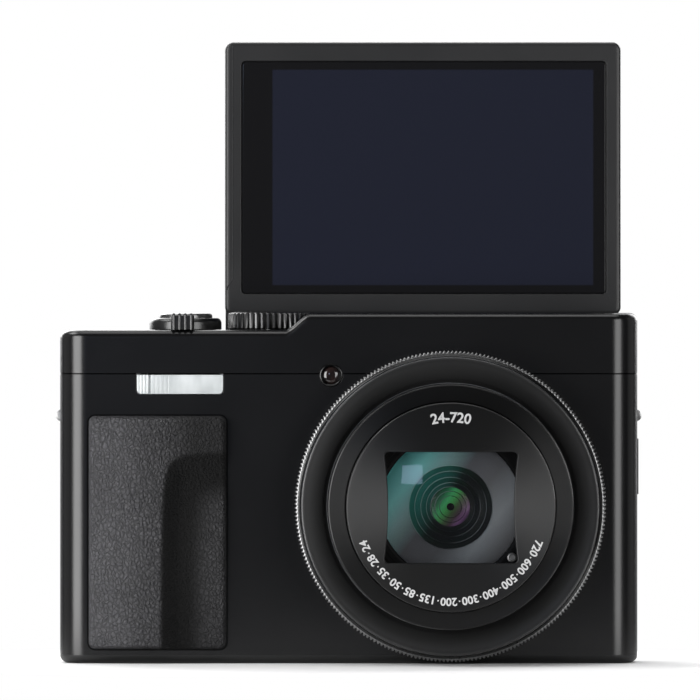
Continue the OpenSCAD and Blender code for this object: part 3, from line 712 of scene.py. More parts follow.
def add_pad(bm, box_xz, radius, back, sign, height, nx, nz):
    """Domed pad on an XZ rectangle: height(x, z) stands out from the plane y = back, towards sign."""
    x0, x1, z0, z1 = box_xz
    grid = []
    for j in range(nz + 1):
        row = []
        for i in range(nx + 1):
            x, z = x0 + (x1 - x0) * i / nx, z0 + (z1 - z0) * j / nz
            cx = min(max(x, x0 + radius), x1 - radius)
            cz = min(max(z, z0 + radius), z1 - radius)
            far = math.hypot(x - cx, z - cz)
            if far > radius:
                x, z = cx + (x - cx) * radius / far, cz + (z - cz) * radius / far
            row.append((x, z))
        grid.append(row)
    top = [[bm.verts.new((x, back + sign * height(x, z), z)) for x, z in row] for row in grid]
    for j in range(nz):
        for i in range(nx):
            bm.faces.new((top[j][i], top[j][i + 1], top[j + 1][i + 1], top[j + 1][i]))
    rim = ([top[0][i] for i in range(nx)] + [top[j][nx] for j in range(nz)]
           + [top[nz][i] for i in range(nx, 0, -1)] + [top[j][0] for j in range(nz, 0, -1)])
    base = [bm.verts.new((v.co.x, back, v.co.z)) for v in rim]
    skin(bm, [rim, base])
    bm.faces.new(base)


GRIP_LO, GRIP_HI = cad("grip_pad")
GRIP_BOX = (GRIP_LO.x + 0.35, GRIP_HI.x, GRIP_LO.z - 0.4, GRIP_HI.z - 0.35)
GRIP_HIGH = 4.3
GRIP_CORNER = 1.3


def hollow_depth(x, z):
    """How far a point lies inside the finger hollow's curved crest; negative outside."""
    right, below = x + 36.6, 41.4 - z
    return (right + below - math.sqrt((right - below) ** 2 + 20.0)) / 2


def grip_height(x, z):
    """Swell that climbs from the left to a crest, drops into the finger hollow and rises beyond it."""
    into = hollow_depth(x, z)
    run = min(0.0, x + 38.5) / 12.2
    swell = GRIP_HIGH - 2.4 * run * run - 1.5 * smooth((x + 37.0) / 13.0)
    low = 1.35 + 0.75 * smooth((into - 4.0) / 6.5)
    wall = smooth((into + 0.4) / 4.0)
    body = swell + (low - swell) * wall
    inside = edge_distance(x, z, *GRIP_BOX, GRIP_CORNER)
    edge = math.sqrt(max(0.0, 1 - (1 - min(1.0, inside / 0.5)) ** 2))
    return 0.3 + (body - 0.3) * (0.72 + 0.28 * smooth(inside / 0.9)) * edge


def grip_painted_shade(x, z):
    """Painted light and shade on the leather: lightest at the left, where it faces the lights, dimmer toward
    the crest and the upper right, and deep painted shade where the hollow turns away.
    """
    into = hollow_depth(x, z)
    painted_side_light = 1.0 - 0.45 * smooth((x + 46.5) / 9.0)
    painted_side_light *= 1.0 - 0.72 * smooth((x + 37.0) / 8.0)
    # Painted shade in the finger hollow: darkest where the wall turns away, a little lighter farther in.
    hollow = 0.01 + 0.33 * smooth((into - 5.0) / 5.0)
    return painted_side_light + (hollow - painted_side_light) * smooth((into + 0.4) / 1.0)


def build_grip():
    bm = bmesh.new()
    add_pad(bm, GRIP_BOX, GRIP_CORNER, FRONT, -1, grip_height, 110, 170)
    obj = new_object("grip_leather_pad", bm)
    # Painted light and shade: the tone attribute stores the painted shade of each point for the leather
    # material.
    tone = obj.data.attributes.new("tone", "FLOAT", "POINT")
    tone.data.foreach_set("value", [grip_painted_shade(v.co.x / MM, v.co.z / MM) for v in obj.data.vertices])
    place(obj, "camera_body", MAT["leather"], ["grip_pad"], angle=60)
    border = bmesh.new()
    x0, x1, z0, z1 = GRIP_BOX
    loops = []
    for grow, y in ((0.02, FRONT - 0.02), (0.3, FRONT - 0.02), (0.3, FRONT + 0.2), (0.02, FRONT + 0.2)):
        outline = round_rect(x0 - grow, x1 + grow, z0 - grow, z1 + grow, GRIP_CORNER + grow)
        loops.append([(x, y, z) for x, z in outline])
    add_loops(border, loops, closed=True)
    edge = new_object("grip_border", border)
    place(edge, "camera_body", MAT["septum"])


THUMB_LO, THUMB_HI = cad("thumb_rest")
THUMB_BOX = (THUMB_LO.x, THUMB_HI.x, THUMB_LO.z, THUMB_HI.z)
THUMB_CORNER = 2.5


def thumb_height(x, z):
    inside = edge_distance(x, z, *THUMB_BOX, THUMB_CORNER)
    ridge = math.exp(-((x + 40.6) / 2.6) ** 2)
    body = 0.8 + 2.1 * ridge
    edge = math.sqrt(max(0.0, 1 - (1 - min(1.0, inside / 1.4)) ** 2))
    return 0.2 + (body - 0.2) * edge


def build_thumb_rest():
    bm = bmesh.new()
    add_pad(bm, THUMB_BOX, THUMB_CORNER, REAR, 1, thumb_height, 48, 46)
    obj = new_object("thumb_leather_pad", bm)
    place(obj, "camera_body", MAT["thumb"], ["thumb_rest"], angle=60)


build_front_cover()
build_rear_cover()
build_top_cover()
build_bottom_plate()
build_grip()
build_thumb_rest()


# ---------------------------------------------------------------- lens

RING_BACK, RING_FRONT = -RING_HI.y, -RING_LO.y
BARREL_FRONT = -cad("outer_barrel")[0].y
BARREL_BACK = -cad("outer_barrel")[1].y
BARREL_R = (cad("outer_barrel")[1].x - cad("outer_barrel")[0].x) / 2
NAME_FRONT = -cad("name_ring")[0].y
NAME_R = (cad("name_ring")[1].x - cad("name_ring")[0].x) / 2
INNER_R = NAME_R + 0.1
INNER_BACK = -cad("inner_barrel")[1].y
WINDOW_W, WINDOW_H = 26.0, 21.6
APERTURE_R = 13.6


def lens_piece(name, profile, body, material, replaces=(), steps=192, angle=28.0):
    """Ring turned round the lens axis."""
    obj = lathe(name, profile, LENS, "-Y", steps, closed=True)
    place(obj, body, material, replaces, angle)


def build_control_ring():
    """Knurled ring: a fine-toothed band, with a smooth black bevel in front of it."""
    teeth = 240
    bore = 27.68
    core = RING_R - 0.42
    wave = (0.0, 0.6, 1.0, 1.0, 0.6, 0.0)
    stations = [
        (RING_BACK + 0.9, core - 0.25, 0.0), (RING_BACK + 1.0, core, 0.35), (RING_BACK + 1.2, core, 1.0),
        (RING_FRONT - 1.0, core, 1.0),
        (RING_FRONT - 0.78, core, 0.8), (RING_FRONT - 0.62, core - 0.08, 0.2),
        (RING_FRONT - 0.55, core - 0.3, 0.0),
        (RING_FRONT - 0.55, bore + 0.3, 0.0), (RING_BACK + 0.9, bore + 0.3, 0.0)]
    obj = knurled("control_ring_knurled", stations, teeth, wave, RING_R - core, LENS, "-Y", closed=True)
    place(obj, "control_ring", MAT["teeth"], ["control_ring"], angle=50, weighted=False)
    band = [(bore, RING_BACK), (29.3, RING_BACK), (29.5, RING_BACK + 0.2), (29.5, RING_BACK + 0.9),
            (29.2, RING_BACK + 1.0),
            (29.2, RING_FRONT - 0.56), (29.42, RING_FRONT - 0.5), (29.44, RING_FRONT - 0.4),
            (29.36, RING_FRONT - 0.3),
            (29.2, RING_FRONT - 0.26), (29.14, RING_FRONT - 0.2), (29.1, RING_FRONT - 0.06),
            (29.0, RING_FRONT),
            (28.95, RING_FRONT - 0.05), (28.9, RING_FRONT - 0.6), (bore, RING_FRONT - 0.6)]
    lens_piece("control_ring_band", band, "control_ring", MAT["ring"], angle=50)


def curve(start, end, bulge, steps=8):
    """Points from start to end, swelling sideways by bulge."""
    (x0, y0), (x1, y1) = start, end
    length = math.hypot(x1 - x0, y1 - y0)
    nx, ny = (y1 - y0) / length, -(x1 - x0) / length
    return [(x0 + (x1 - x0) * t + nx * bulge * 4 * t * (1 - t),
             y0 + (y1 - y0) * t + ny * bulge * 4 * t * (1 - t))
            for t in (i / steps for i in range(steps + 1))]


def build_lens_mount():
    """Fixed parts: mount flange and tube, and the dished shroud inside the ring."""
    flange = [(26.4, -1), (27.55, -1), (27.6, -0.9), (27.6, 12.9), (27.6, 13.05), (29.1, 13.05),
              (29.3, 13.2),
              (29.3, 14.05), (29.1, 14.25), (27.6, 14.25), (27.6, 20.7), (26.4, 20.7)]
    lens_piece("lens_mount_tube", flange, "camera_body", MAT["barrel"], ["lens_base"])
    dish = [(26.3, 19.3), (26.3, 20.8), (27.6, 20.8), (27.6, 21.6), (28.65, 21.6), (28.8, 21.7),
            (28.8, 22.15),
            (28.75, 22.28), (28.62, 22.36), (28.42, 22.38), (28.2, 22.33)]
    dish += curve((28.0, 22.25), (24.75, 20.55), 0.3, 14) + [(24.45, 20.2), (24.3, 19.8), (24.0, 19.6),
                                                             (23.9, 19.3)]
    lens_piece("lens_shroud_dish", dish, "camera_body", MAT["shroud"], ["lens_shroud"],
               angle=50)
    back = bmesh.new()
    add_lathe(back, [(26.4, -2.2), (27.6, -2.2), (27.6, -1), (26.4, -1)], LENS, "-Y", 96, closed=True)
    add_prism(back, [(LENS_X + x, LENS_Z + z) for x, z in arc((0, 0), 26.4, 0, 354, 59)], 1.0, 2.2, "Y")
    obj = new_object("lens_back_plate", back)
    cut(obj, [box_object(LENS_X - 8, LENS_X + 8, 0, 4, LENS_Z - 6.5, LENS_Z + 6.5)])
    place(obj, "camera_body", MAT["matt"])


def build_barrels():
    f, r, q = BARREL_FRONT, BARREL_R, INNER_R
    outer = [(q + 1.65, BARREL_BACK), (r, BARREL_BACK), (r, f - 0.9), (r - 0.02, f - 0.28),
             (r - 0.1, f - 0.1), (r - 0.28, f),
             (q + 0.45, f - 0.02), (q + 0.25, f - 0.08), (q + 0.12, f - 0.25), (q + 0.1, f - 2),
             (q + 1.65, f - 2)]
    lens_piece("barrel_outer_tube", outer, "outer_barrel", MAT["barrel"], ["outer_barrel"])
    g = NAME_FRONT - 1.0
    inner = [(q - 1, INNER_BACK), (q + 1.55, INNER_BACK), (q + 1.55, INNER_BACK + 1.6),
             (q, INNER_BACK + 1.6),
             (q, g - 0.45), (q - 0.05, g - 0.15), (q - 0.2, g), (q - 0.9, g), (q - 1, g - 0.2)]
    lens_piece("barrel_inner_tube", inner, "inner_barrel", MAT["barrel"], ["inner_barrel"])
    r = APERTURE_R
    septum = [(q - 0.95, g - 2.15), (r + 2.3, g - 2.15), (r + 2.2, g - 2.25), (r + 1.5, g - 2.3),
              (r + 1.4, g - 2.42),
              (r + 0.7, g - 2.46), (r + 0.6, g - 2.6), (r + 0.12, g - 2.66), (r, g - 2.8), (r, g - 8.5),
              (r + 1.2, g - 8.5),
              (r + 1.2, g - 2.9), (q - 0.95, g - 2.9)]
    lens_piece("barrel_septum", septum, "inner_barrel", MAT["septum"])


def window_outline(grow, steps=10):
    """Window in the name ring: four sides, the left and right ones bowed in, round corners."""
    bow = 0.8
    w, h = WINDOW_W / 2 + grow, WINDOW_H / 2 + grow
    radius = 1.1 + grow
    points = []
    corners = ((w, -h, -90), (w, h, 0), (-w, h, 90), (-w, -h, 180))
    for x, z, start in corners:
        centre = (x - math.copysign(radius, x), z - math.copysign(radius, z))
        points += arc(centre, radius, start, start + 90, 6)
        if start in (-90, 90):
            z0, z1 = z - math.copysign(radius, z), -(z - math.copysign(radius, z))
            for i in range(1, steps):
                points.append((x, z0 + (z1 - z0) * i / steps))
    shaped = []
    for x, z in points:
        pull = bow * max(0.0, 1 - (z / (WINDOW_H / 2)) ** 2) * min(1.0,
                                                                   max(0.0,
                                                                       (abs(x) - w + 2 * radius) / radius))
        shaped.append((LENS_X + x - math.copysign(pull, x), LENS_Z + z))
    return shaped


def build_name_ring():
    """Round front plate, crowned a little, with its window cut through and every edge turned over."""
    f, q = NAME_FRONT, NAME_R
    disc = [(0, f - 1), (q, f - 1), (q, f - 0.24), (q - 0.05, f - 0.1), (q - 0.2, f - 0.04),
            (q - 0.5, f - 0.02), (q - 1.2, f)]
    disc = [(r, h - 0.03) for r, h in disc] + [(0, f - 0.03)]
    obj = lathe("name_ring_plate", disc, LENS, "-Y", 192)
    bm = bmesh.new()
    add_prism(bm, window_outline(0), -f - 1, -f + 2, "Y")
    cut(obj, [new_object("tool", bm)])
    round_edges(obj, 0.14, 2, 50)
    place(obj, "inner_barrel", MAT["name"], ["name_ring"], angle=30)
    rim = bmesh.new()
    outer, inner = window_outline(0.02), window_outline(-0.16)
    loops = [[Vector((x, -(f - 0.55), z)) for x, z in outer],
             [Vector((x, -(f - 0.32), z)) for x, z in outer],
             [Vector((x, -(f - 0.32), z)) for x, z in inner],
             [Vector((x, -(f - 0.55), z)) for x, z in inner]]
    add_loops(rim, loops, closed=True)
    step = new_object("window_step", rim)
    place(step, "inner_barrel", MAT["name"], angle=40)


def build_front_glass():
    """Dished front element: a cone with painted reflections under clear glass, then the black cell and its
    rings.
    """
    f = NAME_FRONT
    glass_mat = clear_glass("front_glass", (0.0, 0.002, 0.002, 1), (0.002, 0.002, 0.004, 1), 0.02, 0.25,
                            2.5)
    sphere = 80
    radii = (1.5, 3, 4.5, 6, 7.5, 9, 10.5, 11.5, 12.5, 13.5)
    dome = [(0, f - 3.1)] + [(r, f - 3.1 - (sphere - math.sqrt(sphere ** 2 - r * r))) for r in radii]
    profile = dome + [(13.5, f - 6.6), (0, f - 6.6)]
    obj = lathe("front_lens_glass", profile, LENS, "-Y", 128)
    place(obj, "inner_barrel", glass_mat, ["front_lens"], angle=40)
    # Painted reflection: teal, grey and dark bands across the coating cone stand in for the lights reflected
    # in it.
    tint = painted_reflection_ramp("coating_painted_reflection", [
        (0.0, (0.07, 0.45, 0.43, 1)), (0.14, (0.26, 0.82, 0.80, 1)), (0.26, (0.30, 0.55, 0.55, 1)),
        (0.42, (0.10, 0.105, 0.12, 1)),
        (0.62, (0.10, 0.104, 0.115, 1)), (0.82, (0.22, 0.245, 0.27, 1)), (1.0, (0.07, 0.072, 0.08, 1))],
        (0.80, 0.0, -0.60), 13.0, 0.5)
    cone = [(APERTURE_R - 0.05, f - 6.8)] + curve((13.4, f - 6.8), (8.2, f - 8.3), 0.15,
                                                  8) + [(8.1, f - 8.45), (8.1, f - 9.2),
                                                        (APERTURE_R - 0.05, f - 9.2)]
    lens_piece("coating_cone", cone, "inner_barrel", tint, steps=128)


# Direction of the painted reflections across the cell.
CELL_REFLECTION_SWEEP = (0.85, 0.0, -0.52)


def build_inner_group():
    """Black cell behind the front element: stepped rings down to an inner element, with painted reflections
    on the rings and the element, and painted glints on the ring edges.
    """
    f = NAME_FRONT
    cell = [(INNER_R - 1.05, f - 16), (INNER_R - 1.05, f - 15), (13.6, f - 15), (13.6, f - 9.5),
            (8.3, f - 9.3),
            (8.12, f - 8.7), (7.95, f - 8.7), (7.7, f - 9.2)] + curve((7.6, f - 9.4), (5.9, f - 11.6), -0.2,
                                                                      6)
    cell += [(5.75, f - 11.7), (5.6, f - 11.6), (5.4, f - 11.8)] + curve((5.3, f - 12.0), (4.0, f - 13.3),
                                                                         -0.12, 5)
    cell += [(3.95, f - 13.4), (3.8, f - 13.4), (3.8, f - 16)]
    # Painted reflection: a teal-green sweep across the cell rings, dark on the far side.
    green = painted_reflection_ramp("cell_painted_reflection", [
        (0.0, (0.03, 0.34, 0.29, 1)), (0.25, (0.02, 0.18, 0.15, 1)), (0.42, (0.003, 0.015, 0.012, 1)),
        (0.55, (0.002, 0.003, 0.003, 1)), (0.8, (0.002, 0.006, 0.005, 1)), (1.0, (0.002, 0.003, 0.003, 1))],
        CELL_REFLECTION_SWEEP, 8.0, 0.45)
    lens_piece("inner_cell_rings", cell, "inner_barrel", green, ["inner_lens_group"],
               steps=128)
    # Painted reflection: green and purple bands across the inner element stand in for the lights reflected in
    # it.
    deep = painted_reflection_ramp("inner_element_painted_reflection", [
        (0.0, (0.01, 0.06, 0.03, 1)), (0.18, (0.03, 0.22, 0.10, 1)), (0.34, (0.10, 0.70, 0.24, 1)),
        (0.46, (0.10, 0.52, 0.14, 1)),
        (0.6, (0.07, 0.15, 0.05, 1)), (0.74, (0.09, 0.05, 0.07, 1)), (0.88, (0.26, 0.11, 0.30, 1)),
        (1.0, (0.06, 0.02, 0.08, 1))],
        (0.8, 0.0, -0.6), 3.9, 0.25)
    eye = [(0, f - 12.9)] + [(r, f - 12.9 - r * r / 26.0) for r in (0.6, 1.2, 1.8, 2.4, 3.0, 3.5, 3.75)]
    obj = lathe("inner_element", eye + [(3.75, f - 15), (0, f - 15)], LENS, "-Y", 96)
    place(obj, "inner_barrel", deep, angle=40)
    pupil = lathe("inner_pupil", [(0, f - 12.7), (0.5, f - 12.7), (0.72, f - 12.8), (0.78, f - 13.3),
                                  (0, f - 13.3)], LENS, "-Y", 48)
    place(pupil, "inner_barrel", MAT["septum"], angle=40)
    rings = bmesh.new()
    for radius, height in ((8.02, 8.68), (6.9, 10.2), (5.72, 11.62), (4.65, 12.6), (3.85, 13.3),
                           (3.0, 13.22), (2.1, 13.04)):
        add_lathe(rings, [(radius, f - height - 0.05), (radius + 0.07, f - height),
                          (radius + 0.01, f - height + 0.05),
                          (radius - 0.05, f - height)], LENS, "-Y", 96, closed=True)
    # Painted glints on the ring edges: bright teal toward one side, paler grey toward the other, dark
    # between.
    glint = painted_reflection_ramp("cell_edge_painted_glint", [
        (0.0, (0.5, 0.75, 0.75, 1)), (0.3, (0.4, 0.55, 0.55, 1)), (0.45, (0.03, 0.04, 0.04, 1)),
        (0.7, (0.02, 0.02, 0.02, 1)),
        (0.85, (0.22, 0.24, 0.26, 1)), (1.0, (0.3, 0.32, 0.35, 1))], CELL_REFLECTION_SWEEP, 8.0, 0.2)
    obj = new_object("cell_painted_glint_edges", rings)
    place(obj, "inner_barrel", glint, angle=50)
    boss = [(0, f - 2.6), (0.95, f - 2.6), (0.95, f - 1.75), (0.85, f - 1.6), (0.62, f - 1.55),
            (0.5, f - 1.7), (0, f - 1.72)]
    pivot = lathe("blade_pivot", boss, (LENS_X + 11.7, 0, LENS_Z - 9.6), "-Y", 40)
    place(pivot, "inner_barrel", MAT["edge"], angle=40)


def blade_piece(node, name):
    """Barrier blade: a strip across the lens, cut to the round of its housing, with rolled edges."""
    lo, hi = cad(node)
    house, upper = INNER_R - 1.05, (lo.z + hi.z) / 2 > LENS_Z
    near = (lo.z if upper else hi.z) - LENS_Z
    far = (hi.z if upper else lo.z) - LENS_Z
    start, end = math.degrees(math.asin(abs(near) / house)), math.degrees(math.asin(abs(far) / house))
    right = arc((0, 0), house, start, end, 10)
    outline = right + [(-x, z) for x, z in reversed(right)]
    sign = 1 if upper else -1
    bm = bmesh.new()
    add_prism(bm, [(LENS_X + x, LENS_Z + sign * z) for x, z in outline], lo.y, hi.y, "Y")
    obj = new_object(name, bm)
    round_edges(obj, 0.08)
    place(obj, node, MAT["blade"], [node])


def build_lens():
    build_control_ring()
    build_lens_mount()
    build_barrels()
    build_name_ring()
    build_front_glass()
    build_inner_group()
    for side in ("upper", "lower"):
        for layer in ("front", "rear"):
            blade_piece(f"blade_{side}_{layer}", f"barrier_{side}_{layer}")


def text_bmesh(bm, words, size, place_at):
    """Adds flat numerals, drawn from the built-in font. place_at turns a 2D point into 3D, in millimetres."""
    curve_data = bpy.data.curves.new("numerals", "FONT")
    curve_data.body = words
    curve_data.size = size
    curve_data.align_x = "CENTER"
    curve_data.align_y = "CENTER"
    curve_data.resolution_u = 3
    curve_data.offset = 0.022 * size
    source = bpy.data.objects.new("numerals", curve_data)
    bpy.context.scene.collection.objects.link(source)
    bpy.context.view_layer.update()
    graph = bpy.context.evaluated_depsgraph_get()
    mesh = bpy.data.meshes.new_from_object(source.evaluated_get(graph))
    made = [bm.verts.new(place_at(v.co.x, v.co.y)) for v in mesh.vertices]
    for polygon in mesh.polygons:
        try:
            bm.faces.new([made[i] for i in polygon.vertices])
        except ValueError:
            pass
    bpy.data.objects.remove(source)
    bpy.data.curves.remove(curve_data)
    bpy.data.meshes.remove(mesh)


def thicken(bm, vector):
    """Turns flat print into thin closed plates."""
    extruded = bmesh.ops.extrude_face_region(bm, geom=bm.faces[:])
    moved = [e for e in extruded["geom"] if isinstance(e, bmesh.types.BMVert)]
    bmesh.ops.translate(bm, verts=moved, vec=vector)


def on_name_ring(angle, radius):
    """Maps flat print onto the name ring's face: u runs clockwise round the lens, v outwards."""
    def put(u, v):
        bend = angle - u / radius
        return (LENS_X + (radius + v) * math.cos(bend), -NAME_FRONT, LENS_Z + (radius + v) * math.sin(bend))
    return put


SCALE_R = 18.0
TITLE_R = 17.2


def build_scale():
    """Focal-length numerals clockwise round the lower half of the name ring, with the range above."""
    bm = bmesh.new()
    marks = ("720", "600", "500", "400", "300", "200", "135", "85", "50", "35", "28", "24")
    weights = [len(words) + 1.15 for words in marks]
    start, sweep = -19.0, -142.0
    dot = 0.13
    done = 0.0
    for words, weight in zip(marks, weights):
        a = math.radians(start + sweep * (done + weight / 2) / sum(weights))
        done += weight
        text_bmesh(bm, words, 2.15, on_name_ring(a, SCALE_R))
        if done < sum(weights) - 0.1:
            b = math.radians(start + sweep * done / sum(weights))
            out, along = Vector((math.cos(b), 0, math.sin(b))), Vector((math.sin(b), 0, -math.cos(b)))
            base = Vector((LENS_X, -NAME_FRONT, LENS_Z)) + out * SCALE_R
            corners = ((-dot, -dot), (-dot, dot), (dot, dot), (dot, -dot))
            bm.faces.new([bm.verts.new(base + out * o + along * w) for o, w in corners])
    text_bmesh(bm, "24-720", 2.75, on_name_ring(math.pi / 2, TITLE_R))
    thicken(bm, Vector((0, 0.05, 0)))
    obj = new_object("name_ring_numerals", bm)
    place(obj, "inner_barrel", MAT["ink"], weighted=False)


build_lens()
build_scale()


# ---------------------------------------------------------------- screen

BACK_Y = cad("screen_cover")[1].y
GLASS_LO, GLASS_HI = cad("screen_glass")


def panel_loop(inset, y):
    outline = round_rect(PANEL_LO.x + inset, PANEL_HI.x - inset, PANEL_LO.z + inset, PANEL_HI.z - inset,
                         max(0.3, 1.6 - inset), 8)
    return [Vector((x, y, z)) for x, z in outline]


def glass_loop(grow, y):
    outline = round_rect(GLASS_LO.x - grow, GLASS_HI.x + grow, GLASS_LO.z - grow, GLASS_HI.z + grow,
                         0.75 + grow, 8)
    return [Vector((x, y, z)) for x, z in outline]


def add_ridge(name, path, y, half, proud):
    """Raised line on the screen's front face, marking the finger bevel at its left edge."""
    bm = bmesh.new()
    rows = []
    for i, point in enumerate(path):
        before, after = Vector(path[max(0, i - 1)]), Vector(path[min(len(path) - 1, i + 1)])
        along = (after - before).normalized()
        side = Vector((-along.y, along.x)) * half
        here = Vector(point)
        rows.append([bm.verts.new((p.x, d, p.y)) for p, d in ((here - side, y + 0.02),
                                                              (here - side * 0.3, y - proud),
                                                              (here + side * 0.3, y - proud),
                                                              (here + side, y + 0.02))])
    skin(bm, rows)
    bm.faces.new(rows[0])
    bm.faces.new(rows[-1][::-1])
    obj = new_object(name, bm)
    place(obj, "screen", MAT["ribs"], angle=30)


def build_screen_frame():
    f, split = PANEL_LO.y, PANEL_HI.y
    loops = [panel_loop(0.05, split), panel_loop(0.0, split - 0.15), panel_loop(0.0, f + 0.62),
             panel_loop(0.1, f + 0.34),
             panel_loop(0.34, f + 0.12), panel_loop(0.62, f + 0.03), panel_loop(1.0, f),
             glass_loop(0.34, f), glass_loop(0.22, f + 0.03), glass_loop(0.08, f + 0.2),
             glass_loop(0.02, f + 0.8),
             glass_loop(-0.9, f + 0.8), glass_loop(-0.9, split)]
    bm = bmesh.new()
    add_loops(bm, loops, closed=True)
    obj = new_object("screen_bezel", bm)
    slot = box_object(PANEL_LO.x - 1, cad("hinge_bracket")[1].x + 0.1, 12.9, 14.4, PANEL_LO.z - 1,
                      PANEL_LO.z + 4.1)
    cut(obj, [slot])
    place(obj, "screen", MAT["screen"], ["screen_frame"], angle=24)
    x, low, high = PANEL_LO.x + 1.55, PANEL_LO.z + 7.6, PANEL_HI.z - 0.7
    path = [(x, high), (x, low), (x - 0.12, low - 0.7), (x - 1.05, low - 2.0), (x - 1.3, low - 2.7)]
    add_ridge("screen_finger_ridge", path, f, 0.13, 0.06)


def build_screen_back():
    y0 = PANEL_HI.y + 0.02
    loops = [panel_loop(1.2, y0), panel_loop(0.05, y0), panel_loop(0.0, y0 + 0.12),
             panel_loop(0.0, BACK_Y - 1.0),
             panel_loop(0.12, BACK_Y - 0.55), panel_loop(0.45, BACK_Y - 0.16), panel_loop(1.0, BACK_Y),
             panel_loop(4.2, BACK_Y), panel_loop(4.4, BACK_Y - 0.12), panel_loop(4.65, BACK_Y - 0.12),
             panel_loop(4.85, BACK_Y)]
    bm = bmesh.new()
    add_loops(bm, loops, cap_first=False)
    obj = new_object("screen_back_shell", bm)
    place(obj, "screen", MAT["back"], ["screen_cover"], angle=24)


def display_material():
    """Dark display under glass: black border, faintly blue active area."""
    g = Surface("display_glass", Coat_Weight=0.3, Coat_Roughness=0.03)
    split = g.add("SeparateXYZ", {"Vector": g.add("TexCoord").outputs["Object"]})
    soft = 0.12
    inside = None
    for axis, low, high in (("X", -14.9, 47.8), ("Z", 73.4, 115.5)):
        for edge, side in ((low, soft), (high, -soft)):
            step = g.remap(split.outputs[axis], 0.0, 1.0, (edge - side) * MM, (edge + side) * MM)
            if inside is None:
                inside = step
            else:
                inside = g.add("Math", {0: inside, 1: step}, operation="MULTIPLY").outputs["Value"]
    g.put("Base Color", g.ramp(inside, [(0.0, (0.0065, 0.0065, 0.0072, 1)),
                                        (1.0, (0.0125, 0.0142, 0.0245, 1))]))
    g.gloss(g.noise(g.coords(), 14.0, 4.0), 0.04, 0.10)
    return g.mat


def build_screen_glass():
    f = PANEL_LO.y + 0.07
    bm = bmesh.new()
    loops = [glass_loop(-0.02, f + 0.68), glass_loop(-0.02, f + 0.14), glass_loop(-0.12, f + 0.03),
             glass_loop(-0.28, f)]
    add_loops(bm, loops)
    obj = new_object("screen_cover_glass", bm)
    place(obj, "screen", display_material(), ["screen_glass"], angle=30)


HINGE_Y = 13.65
HINGE_Z = 62.0
KNUCKLE = 8
KNUCKLE_R = 1.6


def add_knuckle(bm, x, bore):
    """Hinge barrel from x to the right, with its end edges turned over."""
    edge = 0.15
    add_lathe(bm, [(bore, x), (KNUCKLE_R - edge, x), (KNUCKLE_R, x + edge), (KNUCKLE_R, x + KNUCKLE - edge),
                   (KNUCKLE_R - edge, x + KNUCKLE), (bore, x + KNUCKLE)],
              (0, HINGE_Y, HINGE_Z), "X", 48, closed=True)


def build_hinge():
    """Strip and knuckles under the screen."""
    lo, hi = cad("hinge_bracket")
    y0, y1 = HINGE_Y - 0.65, HINGE_Y + 0.65
    strip, moving, fixed = bmesh.new(), bmesh.new(), bmesh.new()
    add_box(strip, lo.x, hi.x, y0, y1, HINGE_Z + 1.9, PANEL_LO.z + 4)
    for x in (lo.x + 8.5, 13.5):
        add_box(strip, x, x + KNUCKLE, y0, y1, HINGE_Z + 1.2, HINGE_Z + 2)
        add_knuckle(moving, x, 0.81)
    for x in (PANEL_LO.x + 0.3, 21.8):
        add_knuckle(fixed, x, 0.75)
        add_box(fixed, x, x + KNUCKLE, REAR, HINGE_Y - 1.0, HINGE_Z - 1.45, HINGE_Z + 1.45)
    obj = new_object("hinge_strip", strip)
    round_edges(obj, 0.14)
    place(obj, "screen", MAT["screen"], ["hinge_bracket"])
    place(new_object("hinge_knuckles_screen", moving), "screen", MAT["hinge"])
    place(new_object("hinge_knuckles_body", fixed), "camera_body", MAT["hinge"],
          ["hinge_block"])


build_screen_frame()
build_screen_back()
build_screen_glass()
build_hinge()


# ---------------------------------------------------------------- controls

def build_mode_dial():
    z = PLATE + 0.2
    r = DIAL_R - 0.55
    stations = [(z, r - 0.5, 0), (z, r - 0.1, 0.4), (z + 0.15, r, 1), (z + 2.9, r, 1),
                (z + 3.05, r - 0.05, 0.8),
                (z + 3.15, r - 0.25, 0.2), (z + 3.25, r - 0.6, 0), (z + 3.3, r - 0.9, 0),
                (z + 3.22, r - 1.1, 0),
                (z + 3.2, r - 1.4, 0), (z + 3.2, 0.6, 0)]
    wave = [min(1.0, (0.5 - 0.5 * math.cos(math.tau * k / 8)) * 1.5) for k in range(8)]
    obj = knurled("mode_dial_knurled", stations, 44, wave, 0.55, (DIAL_X, DIAL_Y, 0), "Z")
    place(obj, "mode_dial", MAT["ribs"], ["mode_dial"], angle=40, weighted=False)
    shaft = lathe("mode_dial_shaft", [(0, PLATE - 3.2), (2, PLATE - 3.2), (2, PLATE - 3), (3.5, PLATE - 3),
                                      (3.5, PLATE - 2.2),
                                      (2, PLATE - 2.2), (2, PLATE + 0.2), (0, PLATE + 0.2)],
                                      (DIAL_X, DIAL_Y, 0), "Z", 48)
    place(shaft, "mode_dial", MAT["steel"])
    bm = bmesh.new()
    digit_r = 5.1
    for i in range(8):
        a = math.radians(90 + 45 * i)

        def put(u, v, a=a):
            out = digit_r + v
            return (DIAL_X + out * math.cos(a) + u * math.sin(a),
                    DIAL_Y + out * math.sin(a) - u * math.cos(a), z + 3.2)
        text_bmesh(bm, str(i + 1), 2.2, put)
    thicken(bm, Vector((0, 0, 0.03)))
    digits = new_object("mode_dial_digits", bm)
    place(digits, "mode_dial", MAT["ink"], weighted=False)


